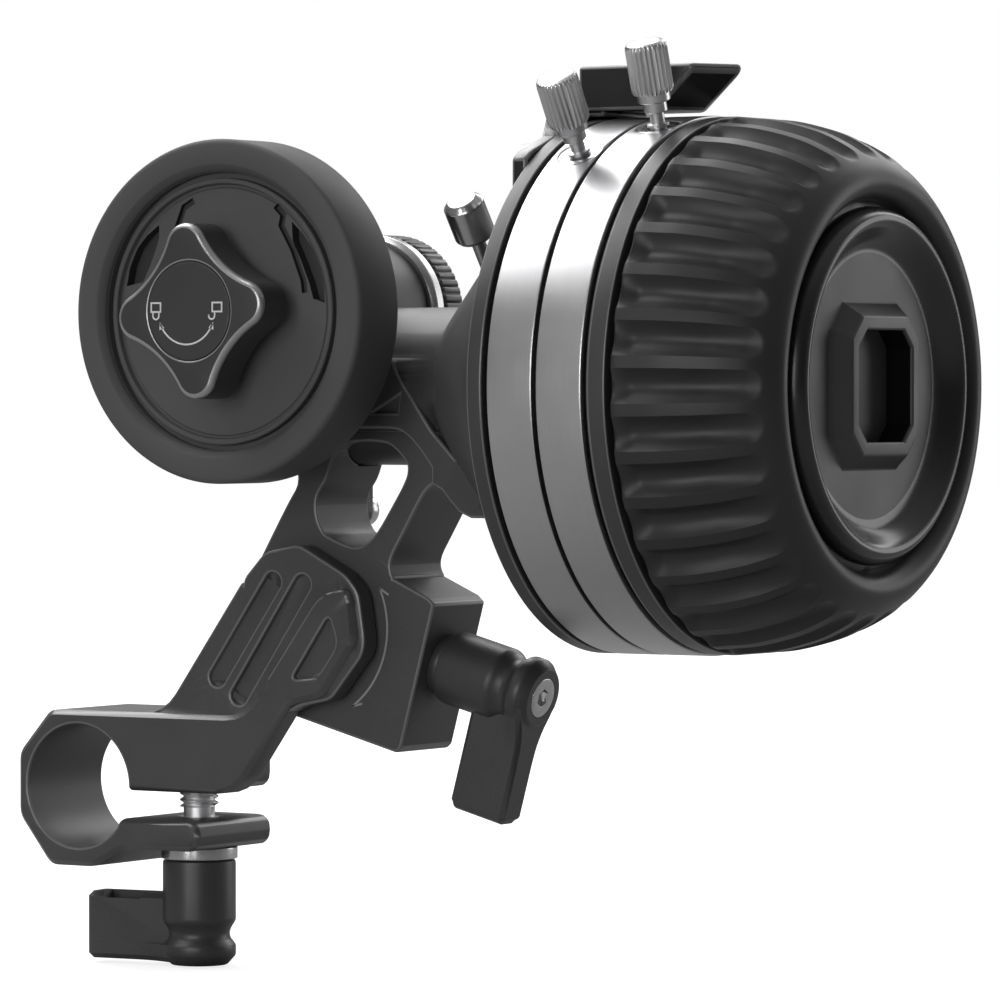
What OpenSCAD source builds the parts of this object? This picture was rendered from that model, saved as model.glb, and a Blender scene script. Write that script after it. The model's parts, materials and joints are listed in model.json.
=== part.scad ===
// Follow focus unit: a split clamp for a 15 mm rail rod carries a tilting arm, a gear
// housing with a drive gear on a cross shaft, and a fluted handwheel with two stop rings.
// Frame: the origin is the centre of the rod bore at the clamp's front face, X runs along
// the handwheel's axis, Y along the rod and the drive gear's axis, and Z is up.

/* [Rod clamp] */
// Diameter of the bore that grips the rod
rod_bore_d = 15.1; // [15:0.05:15.6]
// Length of the clamp along the rod
clamp_l = 15.5; // [14:0.5:22]
// Distance from the bore's centre to the clamp's flat side
clamp_half = 9.1; // [8.9:0.1:10]
// Height of the slot between the jaws
jaw_gap = 3.4; // [2:0.2:4]
// Thickness of the lower jaw
jaw_t = 3.7; // [3:0.1:5]
// Distance from the bore's centre to the clamp screw
screw_x = 12.3; // [12:0.1:13]
// Distance from the bore's centre to the end of the jaws
jaw_end = 17.9; // [17.6:0.1:20]

/* [Lower arm] */
// Distance along X from the rod to the pivot
pivot_x = 31.1; // [30:0.5:34]
// Height of the pivot above the rod
pivot_z = 19.9; // [19:0.5:24]
// Radius of the boss round the pivot
boss_r = 10.1; // [9.5:0.1:11]
// Thickness of the arm's front plate
front_t = 3.7; // [3:0.1:4.5]
// Depth of the step between the two levels of the plate
step_t = 0.85; // [0.4:0.05:1.2]
// Diameter of the pivot shaft
pivot_d = 10; // [8:0.5:11]

/* [Upper arm] */
// Thickness of the upper arm along the rod
upper_t = 11.4; // [9:0.5:13]
// Lean of the clamping block from upright, in degrees
lean = 15.2; // [10:0.2:20]
// Distance from the pivot to the block's face
block_reach = 16.4; // [15.5:0.1:18]

/* [Clamp levers] */
// Radius of a lever's barrel
lever_r = 4.45; // [4:0.05:5]
// Height of a lever's barrel
lever_h = 12.9; // [12:0.1:15]
// Reach of the clamp lever's paddle from its axis
clamp_reach = 14.7; // [13:0.1:18]
// Reach of the arm lever's paddle from its axis
arm_reach = 15.8; // [13:0.1:18]
// Thickness of a paddle
paddle_t = 4.2; // [3:0.1:5]
// Radius of a lever's stud
stud_r = 2.4; // [2:0.1:2.6]

/* [Gear housing] */
// Height of the wheel shaft above the rod
wheel_z = 48.55; // [47:0.05:50]
// Distance of the wheel shaft behind the clamp's front face
wheel_y = 12; // [11.5:0.1:12.5]
// Height of the gear shaft above the wheel shaft
shaft_rise = 8.75; // [8.7:0.05:9.5]
// Distance along X from the rod to the gear shaft
gear_x = 28.85; // [27.5:0.05:30]
// Radius of the housing's tube
tube_r = 9.4; // [9.2:0.1:10]
// Radius of the housing round the gear shaft
nose_r = 8.7; // [8.4:0.1:9.2]
// Radius of the wheel shaft
wheel_shaft_r = 2.5; // [2:0.1:2.8]
// Radius of the gear shaft
gear_shaft_r = 2.5; // [2:0.1:2.8]

/* [Drive gear] */
// Number of teeth of the drive gear
teeth = 43; // [43:1:43]
// Module of the drive gear
gear_module = 0.8; // [0.8:0.01:0.84]
// Radius of the tyre
tyre_r = 20.2; // [19.6:0.05:21]
// Width of the tyre
tyre_w = 8.5; // [8:0.1:10]
// Distance of the tyre's face before the clamp's front face
gear_lead = 12; // [11.6:0.1:13]
// Tip radius of the lock knob
knob_r = 10.3; // [9:0.1:11]
// Distance that the lock knob stands before the tyre
knob_lead = 5.5; // [4:0.1:7]

/* [Handwheel] */
// Radius of the stop rings and the back plate
ring_r = 31.2; // [31:0.1:33]
// Width of each stop ring
ring_w = 5.9; // [5:0.1:6.2]
// Groove between the stop rings
ring_gap = 0.55; // [0.4:0.05:0.8]
// X of the first stop ring's left side
ring_x = 70.7; // [70.5:0.1:72]
// Thickness of the stop rings' wall
ring_wall = 4.2; // [3.4:0.1:5.4]
// Width of the dark band beside the stop rings
band_w = 2.7; // [2:0.1:3.2]
// Step from the stop rings' rim down to the widest part of the grip
grip_step = 0.4; // [0:0.1:1]
// Length of the grip
grip_l = 18.3; // [17:0.1:19]
// Number of flutes round the grip
flutes = 36; // [24:1:40]
// Clearance between the cap and the mouth of the grip
mouth_gap = 0.5; // [0.3:0.05:0.8]
// Width across the socket in the cap
socket_w = 12.7; // [12:0.05:13]

/* [Stops] */
// Height of a thumbscrew above its ring
thumb_h = 10.1; // [8:0.1:11]
// Radius of a thumbscrew's head
thumb_r = 2.5; // [2:0.1:2.8]
// Angle of the first thumbscrew from the top, in degrees
thumb_a_angle = 31.6; // [25:0.2:60]
// Angle of the second thumbscrew from the top, in degrees
thumb_b_angle = 17.8; // [17:0.1:50]
// Width of the index block across the wheel
index_w = 11; // [9:0.5:11.5]
// Height of the index block
index_h = 5.2; // [4:0.1:6]

/* [Hidden] */

$fn = 72;
// Colours
body_c = "#2b2c2e";
rubber_c = "#1d1d1f";
gloss_c = "#17181a";
steel_c = "#c9cacc";
ring_c = "#b4b5b8";
brass_c = "#b08d4a";
mark_c = "#3a3b3e";

// Shared clearances
over = 0.5;      // overrun of every cut past the surface it opens
run_fit = 0.04;  // radial clearance of a turning fit
round_share = 0.48; // most of an edge that a rounded corner takes up
round_step = 0.25;  // step along a rounded corner
side_gap = 0.3;  // gap between flat faces that move past each other
edge = 0.5;      // small edge bevel

// Clamp block, worked out from the bore
clamp_top = clamp_half * 1.01;
clamp_bottom = clamp_half * 1.075;
gap_top = clamp_half * -0.033;
gap_bottom = gap_top - jaw_gap;
jaw_bottom = gap_bottom - jaw_t;
clamp_flat_share = 0.42;
clamp_corner_share = 0.48;
clamp_foot_share = 0.25;
jaw_root_share = 0.72;
screw_y = clamp_l * 0.53;

// Rounding of outline corners on the arms
arm_round = 2.4;
face_round = 1;
jaw_round = 1.8;
plate_round = 3;

// Arm bar between clamp and boss, seen from the front
arm_angle = atan2(pivot_z, pivot_x) + 21.8;
arm_left = boss_r * 0.91;
arm_right = boss_r * 0.515;
band_share = 0.18;
plate_z = pivot_z - boss_r * 0.6;
boss_shares = [[-0.42, 0.88], [0.07, 0.98], [0.74, 0.63], [0.915, 0.425], [1, -0.125],
  [0.973, -0.3], [0.525, -0.84], [0.1, -0.92], [-0.11, -1.02], [-0.55, -0.6], [-0.733, 0.545]];
face_shares = [[0.367, 0.333], [0.578, 0.454], [0.786, 0.484], [0.865, 0.346],
  [0.915, -0.12], [0.855, -0.219], [0.44, -0.803], [0.014, -0.897], [-0.174, -0.996],
  [-0.505, -0.861]];
recess_shares = [[0.02, -0.61], [0.37, -0.58], [0.62, -0.25], [0.65, -0.13], [0.55, 0.16]];
groove_d = step_t * 0.7;
groove_r = boss_r * 0.115;
groove_share_sets = [[[-0.3, 0.53], [-1.09, -0.61]], [[0.12, 0.51], [-0.78, -0.82]]];
pocket_floor = front_t * 0.43;

// Pivot
upper_y = front_t + side_gap;
upper_back = upper_y + upper_t;
pivot_r = pivot_d / 2;
retainer_t = 1.5;
retainer_r = pivot_r * 1.5;
pivot_screw_r = pivot_r * 0.4;
pivot_head_r = pivot_r * 0.7;
pivot_head_t = 2;

// Upper arm outline, in shares of the wheel shaft's height over the pivot
rise = wheel_z - pivot_z;
arm_disc_r = boss_r * 1.03;
block_low = boss_r * 1.08;
block_high = boss_r * 0.8;
arm_shares = [[-0.105, 0.76], [-0.04, 0.61], [-0.1, 0.525], [-0.2, 0.357], [-0.36, 0.08],
  [0.33, 0.1], [0.435, 0.2], [0.407, 0.236], [0.407, 0.286], [0.457, 0.368], [0.58, 0.576],
  [0.636, 0.604], [0.636, 0.73], [0.5, 0.9], [0.08, 0.9]];
window_shares = [[0.04, 0.547], [0.038, 0.465], [0.07, 0.394], [0.11, 0.373],
  [0.21, 0.335], [0.27, 0.339], [0.334, 0.387], [0.482, 0.614], [0.492, 0.667],
  [0.476, 0.698], [0.416, 0.754], [0.36, 0.771], [0.2, 0.771], [0.126, 0.715],
  [0.094, 0.611]];
seat_gap = 0.05;

// Gusset on the housing's front, in the same shares
flange_t = 1.5;
gusset_y = upper_y - flange_t;
gusset_shares = [[0.2, 1.12], [0.457, 1.12], [0.464, 1.068], [0.684, 0.761],
  [0.757, 0.698], [0.83, 0.643], [0.93, 0.6], [0.93, 0.525], [0.87, 0.525],
  [0.783, 0.5365], [0.709, 0.576], [0.588, 0.739], [0.513, 0.808], [0.457, 0.827],
  [0.2, 0.827]];
gusset_deep_shares = [[0.641, 0.6], [0.69, 0.575], [0.73, 0.53], [0.775, 0.485],
  [0.83, 0.462], [0.93, 0.462], [0.93, 0.6], [0.83, 0.643], [0.76, 0.7],
  [0.641, 0.82]];
gusset_notch_shares = [[0.485, 0.963], [0.475, 0.89], [0.3525, 0.89]];

// Levers
washer_t = 1.4;
arm_washer_t = 1.1;
arm_washer_r = lever_r * 0.85;
neck_share = 0.58;
flange_share = 0.83;
bevel_share = 0.95;
paddle_end = lever_h * 0.97;
clamp_paddle_share = 0.335;
arm_paddle_share = 0.37;
cap_head_r = lever_r * 0.54;
cap_head_t = 1.4;
cap_shank_r = cap_head_r * 0.5;
cap_shank_l = 4;
hex_r = cap_head_r * 0.45;
hex_deep = 0.9;
paddle_turn = 187;
pad_l = 2.4;
pad_start = pivot_r + side_gap;
stud_start = pad_start + pad_l + seat_gap;

// Shafts and housing along the two axes
gear_z = wheel_z + shaft_rise;
cross_r = shaft_rise / 2 - side_gap / 2;
cross_w = cross_r * 0.76;
cross_slots = 16;
cross_slot_w = cross_r * 0.17;
tube_start = gear_x - nose_r * 0.95;
tube_bore_r = tube_r * 0.8;
bearing_w = 5;
bearing_inner_r = wheel_shaft_r + run_fit;
end_cap_t = 1.6;
shaft_start = tube_start + end_cap_t + side_gap;
plate_gap = 0.73;
plate_t = 1.94;
plate_x = ring_x - plate_gap - plate_t;
crease_x = ring_x - tube_r * 2.255;
bell_mid_r = ring_r * 0.72;
bell_mid_x = crease_x + bell_mid_r - tube_r;
bell_r = ring_r * 0.8;
bell_end_x = bell_mid_x + (plate_x - bell_mid_x) * 0.63;
bell_skin = 2;
boss_post_r = 3;
boss_ring_r = bell_mid_r - boss_post_r * 1.3;
plate_screw_r = 1.25;
plate_head_r = 2.3;
plate_head_t = 1.1;
plate_screw_l = 6;
nose_front = upper_y - tube_r * 0.66;
nose_end = wheel_y + tube_r * 0.9;
nose_bore_r = nose_r * 0.75;
bush_w = 4;
lug_t = 2.6;
lug_r = 2.1;
tie_r = 1;
tie_head_r = 1.9;
tie_head_t = 1.6;
tie_depth = 6;
tie_shares = [[-0.066, 0.475], [0.5445, 0.632]];

// Collar behind the housing
collar_ring_t = 2.2;
collar_gap = 0.1;
collar_y = nose_end + collar_gap;
collar_r = nose_r * 1.12;
collar_start = collar_y + collar_ring_t + collar_gap;
collar_l = 4.4;
collar_end = collar_start + collar_l;
collar_ribs = 60;
rib_share = 0.965;
spigot_r = collar_r * 0.68;
collar_cap_r = collar_r * 0.82;
collar_cap_t = 1.1;
collar_stub_r = spigot_r * 0.5;

// Drive gear
tyre_y = -gear_lead;
tyre_lip = 1.1;
tyre_edge = 0.7;
gear_y = tyre_y + tyre_lip;
gear_w = tyre_w - tyre_lip - tyre_edge;
pitch_r = gear_module * teeth / 2;
tip_r = pitch_r + gear_module;
root_r = pitch_r - gear_module * 1.25;
tooth_angle = 360 / teeth;
lip_r = tip_r * 0.91;
web_y = gear_y;
web_t = 2.8;
rim_r = root_r * 0.93;
hub_r = gear_shaft_r * 2;
hub_end = nose_front - side_gap;
slot_out_r = lip_r * 0.93;
slot_in_r = lip_r * 0.79;
slot_sweeps = [[12, 40], [118, 146]];
knob_y = tyre_y - knob_lead;
knob_back = web_y - side_gap;
knob_neck_y = tyre_y;
knob_neck_r = knob_r * 0.72;
knob_wave_share = 0.24;
knob_turn = 22;
badge_r = knob_r * 0.56;
badge_t = 0.6;
bolt_r = gear_shaft_r * 0.5;
bolt_head_r = badge_r * 0.7;
bolt_head_t = 1.6;
bolt_l = 9;
shaft_front = web_y;
bolt_seat = knob_y + badge_t + bolt_head_t + side_gap * 2;
bolt_gap_y = side_gap;

// Handwheel
journal_r = ring_r - ring_wall;
grip_r = ring_r - grip_step;
ring_b_x = ring_x + ring_w + ring_gap;
band_gap = 0.25;
band_x = ring_b_x + ring_w + band_gap;
grip_gap = 0.58;
grip_x = band_x + band_w + grip_gap;
band_r = ring_r * 0.995;
flange_gap = 0.05;
core_flange_t = 0.4;
core_flange_r = ring_r * 0.97;
core_back = ring_x - core_flange_t - flange_gap;
core_wall = 3.4;
core_in_r = journal_r - core_wall * 1.1;
core_hub_r = wheel_shaft_r * 2.8;
mouth_share = 0.675;
cap_r = grip_r * mouth_share - mouth_gap;
cap_x = grip_x + grip_l * 0.866;
cap_h = grip_l * 0.155;
cap_foot = cap_x - cap_h * 1.2;
core_lip_r = cap_r * 1.02;
core_mouth_r = cap_r * 0.9;
grip_profile_shares = [[0, 0.98], [0.11, 1], [0.305, 0.989], [0.467, 0.969],
  [0.63, 0.934], [0.767, 0.898], [0.875, 0.862], [0.95, 0.822], [1, 0.762],
  [0.982, 0.71], [0.886, mouth_share]];
core_taper_shares = [[0.3, 1], [0.62, 0.93]];
flute_r = grip_r * 0.065;
flute_start = [grip_l * 0.09, grip_r * 0.985];
flute_stop = [grip_l * 0.9, grip_r * 0.845];
flute_slope = atan2(flute_start[1] - flute_stop[1], flute_stop[0] - flute_start[0]);
cap_profile_shares = [[0, 1], [0.35, 1.005], [0.75, 0.985], [1, 0.94], [1, 0.905],
  [0.1, 0.795], [-1.2, 0.795], [-1.2, 0.9], [0, 0.9]];
disc_x = cap_x + cap_h * 0.07;
disc_t = 1.9;
disc_r = cap_r * 0.79;
boss_h = 2.2;
socket_half = socket_w / 2;
boss_front = socket_half * 1.23;
boss_base = socket_half * 1.5;
corner_share = 1.124;
socket_corner_share = 1.19;
socket_deep = 9;
sleeve_r = boss_base * 0.99;
sleeve_end = disc_x - disc_t - socket_deep;
bolt_gap = 0.6;
wheel_bolt_r = wheel_shaft_r * 0.5;
wheel_head_r = wheel_shaft_r * 1.7;
wheel_head_t = 2.4;
wheel_bolt_l = 8;
hub_face_x = sleeve_end - wheel_head_t - bolt_gap;

// Thumbscrews and index
thumb_shank_r = thumb_r * 0.4;
bush_out_r = thumb_r * 1.02;
bush_t = 1.6;
thumb_tip_gap = 0.4;
thumb_neck_share = 0.4;
thumb_step_shares = [0.19, 0.31];
thumb_neck_shares = [0.58, 0.8];
thumb_x = ring_w * 0.55;
thumb_flutes = 20;
thumb_rib_share = 0.9;
index_clear = 0.7;
bracket_t = 2;
bracket_x = plate_x - bracket_t;
index_x = bracket_x + bracket_t * 0.6;
index_tip = ring_b_x + ring_w * 1.47;
index_tip_turn = 32;
index_undercut = index_h * 0.76;
index_z = wheel_z + ring_r + index_clear;
bracket_shares = [[-0.587, 0.71], [-0.587, 0.836], [-0.532, 0.871], [-0.378, 0.924],
  [-0.349, 0.992], [-0.34, 1.035], [0.34, 1.035], [0.349, 0.992], [0.378, 0.924],
  [0.532, 0.871], [0.587, 0.836], [0.587, 0.71]];
stem_w = index_w * 0.9;
index_screw_r = 1.2;
index_head_r = 2;
index_head_t = 1.3;
index_grip_l = 1.5;
index_screw_y = ring_r * 0.42;
index_screw_z = wheel_z + ring_r * 0.83;

// Lock pin, radial from the wheel axis
pin_x = crease_x + tube_r * 0.9;
pin_angle = 37;
pin_r = 2.4;
pin_neck_r = 0.85;
pin_head_r0 = tube_r * 2.3;
pin_head_l = 5.4;
pin_root_r = tube_r * 1.5;
pin_stop_r = 1.5;
pin_stop_t = 0.8;

// A solid drawn in the XZ plane and swept along Y from y0 to y1
module sweep_y(y0, y1) {
  translate([0, y1, 0]) rotate([90, 0, 0]) linear_extrude(y1 - y0) children();
}
// A cylinder along Y
module rod_y(x, z, y0, y1, r) {
  translate([x, y0, z]) rotate([-90, 0, 0]) cylinder(h = y1 - y0, r = r);
}
// A cylinder along X on the wheel axis
module rod_x(x0, x1, r) {
  translate([x0, wheel_y, wheel_z]) rotate([0, 90, 0]) cylinder(h = x1 - x0, r = r);
}
// A ring along X on the wheel axis
module ring_x_axis(x0, x1, r_out, r_in) {
  difference() {
    rod_x(x0, x1, r_out);
    rod_x(x0 - over, x1 + over, r_in);
  }
}
// A ring along Y on the gear axis
module ring_y_axis(y0, y1, r_out, r_in) {
  difference() {
    rod_y(gear_x, gear_z, y0, y1, r_out);
    rod_y(gear_x, gear_z, y0 - over, y1 + over, r_in);
  }
}
// A solid of revolution about the wheel axis from [radius, x] points
module turn_x(points) {
  translate([0, wheel_y, wheel_z]) rotate([0, 90, 0]) rotate_extrude() polygon(points);
}
// A solid of revolution about the gear axis from [radius, y] points
module turn_y(points) {
  translate([gear_x, 0, gear_z]) rotate([-90, 0, 0]) rotate_extrude() polygon(points);
}
// Moves children to the pivot in the XZ plane
function at_pivot(shares, size) = [for (p = shares) [pivot_x + p[0] * size, pivot_z + p[1] * size]];

// An outline with each corner rounded off over up to reach, one for all or one for each
function rounded(p, reach) = [for (i = [0 : len(p) - 1])
  let (b = p[i], before = p[(i + len(p) - 1) % len(p)] - b, after = p[(i + 1) % len(p)] - b,
    r = is_list(reach) ? reach[i] : reach, u = before * min(r / norm(before), round_share),
    w = after * min(r / norm(after), round_share))
  for (t = r > 0 ? [0 : round_step : 1] : [0]) b + u * pow(1 - t, 2) + w * pow(t, 2)];
// Puts children on the block's clamp axis: +Z there runs outward through the lever
module on_block_axis() {
  translate([pivot_x, upper_y + upper_t / 2, pivot_z]) rotate([0, 90 + lean, 0]) children();
}
// Puts children on a radial line of the wheel, at x and an angle from the top to the front
module on_radial(x, angle) {
  translate([x, wheel_y, wheel_z]) rotate([angle, 0, 0]) children();
}

// Outline of the clamp's two jaws and ring in the XZ plane, open at the gap
module clamp_outline() {
  polygon(rounded([[-clamp_half, -clamp_half * clamp_flat_share],
    [-clamp_half, clamp_half * clamp_flat_share],
    [-clamp_half * clamp_corner_share, clamp_top], [jaw_end, clamp_top], [jaw_end, gap_top],
    [0, gap_top], [0, gap_bottom], [jaw_end, gap_bottom],
    [jaw_end, jaw_bottom], [clamp_half * jaw_root_share, jaw_bottom],
    [clamp_half * clamp_foot_share, -clamp_bottom],
    [-clamp_half * clamp_corner_share, -clamp_bottom]],
    [face_round, face_round, face_round, face_round, jaw_round, 0, 0, jaw_round, jaw_round,
      face_round, face_round, face_round]));
}
// Point at height z on a line along the arm, at side from the pivot's own line
function along_arm(side, z) = [pivot_x + (z - pivot_z - side * cos(arm_angle)) / tan(arm_angle)
  - side * sin(arm_angle), z];
// Front plate of the upper jaw, run out into the bar of the arm as far as side and rise
module plate_outline(side, rise) {
  polygon(rounded([[0, gap_top], along_arm(-arm_right, gap_top), along_arm(-arm_right, plate_z),
    along_arm(side, rise), along_arm(side, clamp_top), [0, clamp_top]],
    [0, plate_round, 0, 0, plate_round, 0]));
}
// Raised face of the lower arm
module arm_face() {
  intersection() {
    arm_outline();
    union() {
      polygon(rounded(at_pivot(face_shares, boss_r), face_round));
      plate_outline(-arm_right * band_share, plate_z);
    }
  }
}
module arm_outline() {
  polygon(rounded(at_pivot(boss_shares, boss_r), face_round));
  plate_outline(arm_left, pivot_z + arm_left * cos(arm_angle));
}
// A groove with round ends between two points of the boss
module pill(ends) {
  a = at_pivot(ends, boss_r);
  d = a[1] - a[0];
  translate(a[0]) circle(r = groove_r);
  translate(a[1]) circle(r = groove_r);
  translate(a[0]) rotate(atan2(d[1], d[0])) translate([0, -groove_r * 0.99])
    square([norm(d), groove_r * 1.98]);
}
module rod_clamp_arm() {
  color(body_c) difference() {
    union() {
      sweep_y(0, clamp_l) clamp_outline();
      sweep_y(step_t, front_t) arm_outline();
      sweep_y(0, front_t) arm_face();
    }
    rod_y(0, 0, -over, clamp_l + over, rod_bore_d / 2);
    translate([screw_x, screw_y, jaw_bottom - over])
      cylinder(h = clamp_top - jaw_bottom - jaw_t, r = stud_r + run_fit);
    rod_y(pivot_x, pivot_z, pocket_floor, front_t + over, pivot_r);
    for (ends = groove_share_sets) sweep_y(step_t - over, step_t + groove_d) pill(ends);
    sweep_y(-over, groove_d) polygon(rounded(at_pivot(recess_shares, boss_r), face_round));
  }
}
module pivot_shaft() {
  color(steel_c) difference() {
    rod_y(pivot_x, pivot_z, pocket_floor, upper_back + side_gap, pivot_r);
    rod_y(pivot_x, pivot_z, upper_y, upper_back + side_gap + over, pivot_screw_r);
  }
}
module pivot_retainer() {
  color(body_c) difference() {
    rod_y(pivot_x, pivot_z, upper_back + side_gap, upper_back + side_gap + retainer_t,
      retainer_r);
    rod_y(pivot_x, pivot_z, upper_back, upper_back + retainer_t + over, pivot_screw_r);
  }
}
module pivot_screw() {
  head_y = upper_back + side_gap + retainer_t;
  color(steel_c) difference() {
    union() {
      rod_y(pivot_x, pivot_z, upper_y, head_y, pivot_screw_r);
      rod_y(pivot_x, pivot_z, head_y, head_y + pivot_head_t, pivot_head_r);
    }
    translate([pivot_x, head_y + pivot_head_t + over, pivot_z]) rotate([90, 0, 0])
      cylinder(h = pivot_head_t * 0.6 + over, r = pivot_head_r * 0.5, $fn = 6);
  }
}

// Lever parts, drawn with their axis along Z from the seat at zero
module lever_barrel() {
  rotate_extrude() polygon([[0, 0], [lever_r - edge, 0], [lever_r, edge],
    [lever_r, lever_h * neck_share], [lever_r * 0.93, lever_h * (neck_share + 0.05)],
    [lever_r * 0.9, lever_h * (neck_share + 0.12)],
    [lever_r * 0.93, lever_h * (neck_share + 0.2)], [lever_r, lever_h * flange_share],
    [lever_r, lever_h * bevel_share], [lever_r * 0.85, lever_h], [0, lever_h]]);
}
module lever_paddle(reach, start) {
  tip = edge * 2;
  translate([0, paddle_t / 2, 0]) rotate([90, 0, 0]) linear_extrude(paddle_t)
    polygon([[0, start], [lever_r, start], [reach - tip, start], [reach, start + tip],
      [reach, paddle_end - tip], [reach - tip, paddle_end], [0, paddle_end]]);
}
module lever(reach, start) {
  difference() {
    union() {
      lever_barrel();
      lever_paddle(reach, start);
    }
    translate([0, 0, -over]) cylinder(h = lever_h + over - cap_shank_l - cap_head_t, r = stud_r);
    translate([0, 0, lever_h - cap_head_t]) cylinder(h = cap_head_t + over, r = cap_head_r);
    translate([0, 0, lever_h - cap_head_t - cap_shank_l - over])
      cylinder(h = cap_shank_l + over * 2, r = cap_shank_r);
  }
}
module lever_cap() {
  difference() {
    union() {
      translate([0, 0, lever_h - cap_head_t]) cylinder(h = cap_head_t, r = cap_head_r);
      translate([0, 0, lever_h - cap_head_t - cap_shank_l])
        cylinder(h = cap_shank_l, r = cap_shank_r);
    }
    translate([0, 0, lever_h - hex_deep]) cylinder(h = hex_deep + over, r = hex_r, $fn = 6);
  }
}
module on_clamp_lever() {
  translate([screw_x, screw_y, jaw_bottom - washer_t - seat_gap]) rotate([180, 0, 0])
    rotate(-paddle_turn) children();
}
module on_arm_lever() {
  on_block_axis() translate([0, 0, block_reach + arm_washer_t + seat_gap]) children();
}
module clamp_washer() {
  color(steel_c) difference() {
    translate([screw_x, screw_y, jaw_bottom - washer_t])
      cylinder(h = washer_t, r = lever_r * 1.05);
    translate([screw_x, screw_y, jaw_bottom - washer_t - over])
      cylinder(h = washer_t + over * 2, r = stud_r + run_fit);
  }
}
module clamp_stud() {
  stud_foot = jaw_bottom - washer_t - seat_gap - (lever_h - cap_shank_l - cap_head_t);
  waist_foot = gap_bottom;
  waist_top = gap_bottom + jaw_gap * 0.36;
  color(steel_c) difference() {
    union() {
      translate([screw_x, screw_y, stud_foot])
        cylinder(h = waist_foot - stud_foot, r = stud_r);
      translate([screw_x, screw_y, waist_foot])
        cylinder(h = waist_top - waist_foot, r = stud_r * 0.8);
      translate([screw_x, screw_y, waist_top])
        cylinder(h = clamp_top - jaw_gap / 2 - waist_top - jaw_t, r = stud_r);
    }
    translate([screw_x, screw_y, stud_foot - over])
      cylinder(h = cap_shank_l + over, r = cap_shank_r);
  }
}
module clamp_lever() {
  color(body_c) on_clamp_lever() lever(clamp_reach, lever_h * clamp_paddle_share);
}
module clamp_lever_cap() {
  color(steel_c) on_clamp_lever() lever_cap();
}

// Upper arm in the XZ plane
module upper_outline() {
  translate([pivot_x, pivot_z]) circle(r = arm_disc_r);
  translate([pivot_x, pivot_z]) rotate(-lean)
    polygon([[0, -block_low], [block_reach - edge, -block_low],
      [block_reach, -block_low + edge * 1.4], [block_reach, block_high - edge],
      [block_reach - edge * 2, block_high], [block_reach * 0.63, block_high * 1.1],
      [0, block_high * 1.1]]);
  polygon(rounded(at_pivot(arm_shares, rise), arm_round));
}
module upper_arm() {
  color(body_c) difference() {
    sweep_y(upper_y, upper_back) upper_outline();
    sweep_y(upper_y - over, upper_back + over) polygon(rounded(at_pivot(window_shares, rise), arm_round));
    rod_y(pivot_x, pivot_z, upper_y - over, upper_back + over, pivot_r + run_fit);
    rod_x(pivot_x - rise, pivot_x + rise, tube_r + seat_gap);
    on_block_axis() cylinder(h = block_reach + over, r = stud_r + run_fit);
    for (p = at_pivot(tie_shares, rise))
      rod_y(p[0], p[1], upper_back - tie_depth, upper_back + over, tie_r);
  }
}
module brake_pad() {
  color(brass_c) on_block_axis() translate([0, 0, pad_start])
    cylinder(h = pad_l, r = stud_r);
}
module arm_washer() {
  color(body_c) on_block_axis() translate([0, 0, block_reach]) difference() {
    cylinder(h = arm_washer_t, r = arm_washer_r);
    translate([0, 0, -over]) cylinder(h = arm_washer_t + over * 2, r = stud_r + run_fit);
  }
}
module arm_stud() {
  color(steel_c) on_arm_lever() difference() {
    stud_low = stud_start - block_reach - arm_washer_t - seat_gap;
    stud_top = lever_h - cap_shank_l - cap_head_t;
    translate([0, 0, stud_low]) cylinder(h = stud_top - stud_low, r = stud_r);
    translate([0, 0, stud_top - cap_shank_l]) cylinder(h = cap_shank_l + over, r = cap_shank_r);
  }
}
module arm_lever() {
  color(body_c) on_arm_lever() lever(arm_reach, lever_h * arm_paddle_share);
}
module arm_lever_cap() {
  color(steel_c) on_arm_lever() lever_cap();
}

// Gear housing
module bell_shell() {
  turn_x([[tube_r * 0.9, crease_x], [tube_r, crease_x], [bell_mid_r, bell_mid_x],
    [bell_r, bell_end_x], [bell_r, plate_x], [bell_r - bell_skin, plate_x],
    [bell_r - bell_skin, bell_end_x + bell_skin * 0.3],
    [bell_mid_r - bell_skin * 0.9, bell_mid_x + bell_skin * 0.6],
    [tube_r * 0.9, crease_x + bell_skin * 1.6]]);
}
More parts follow.
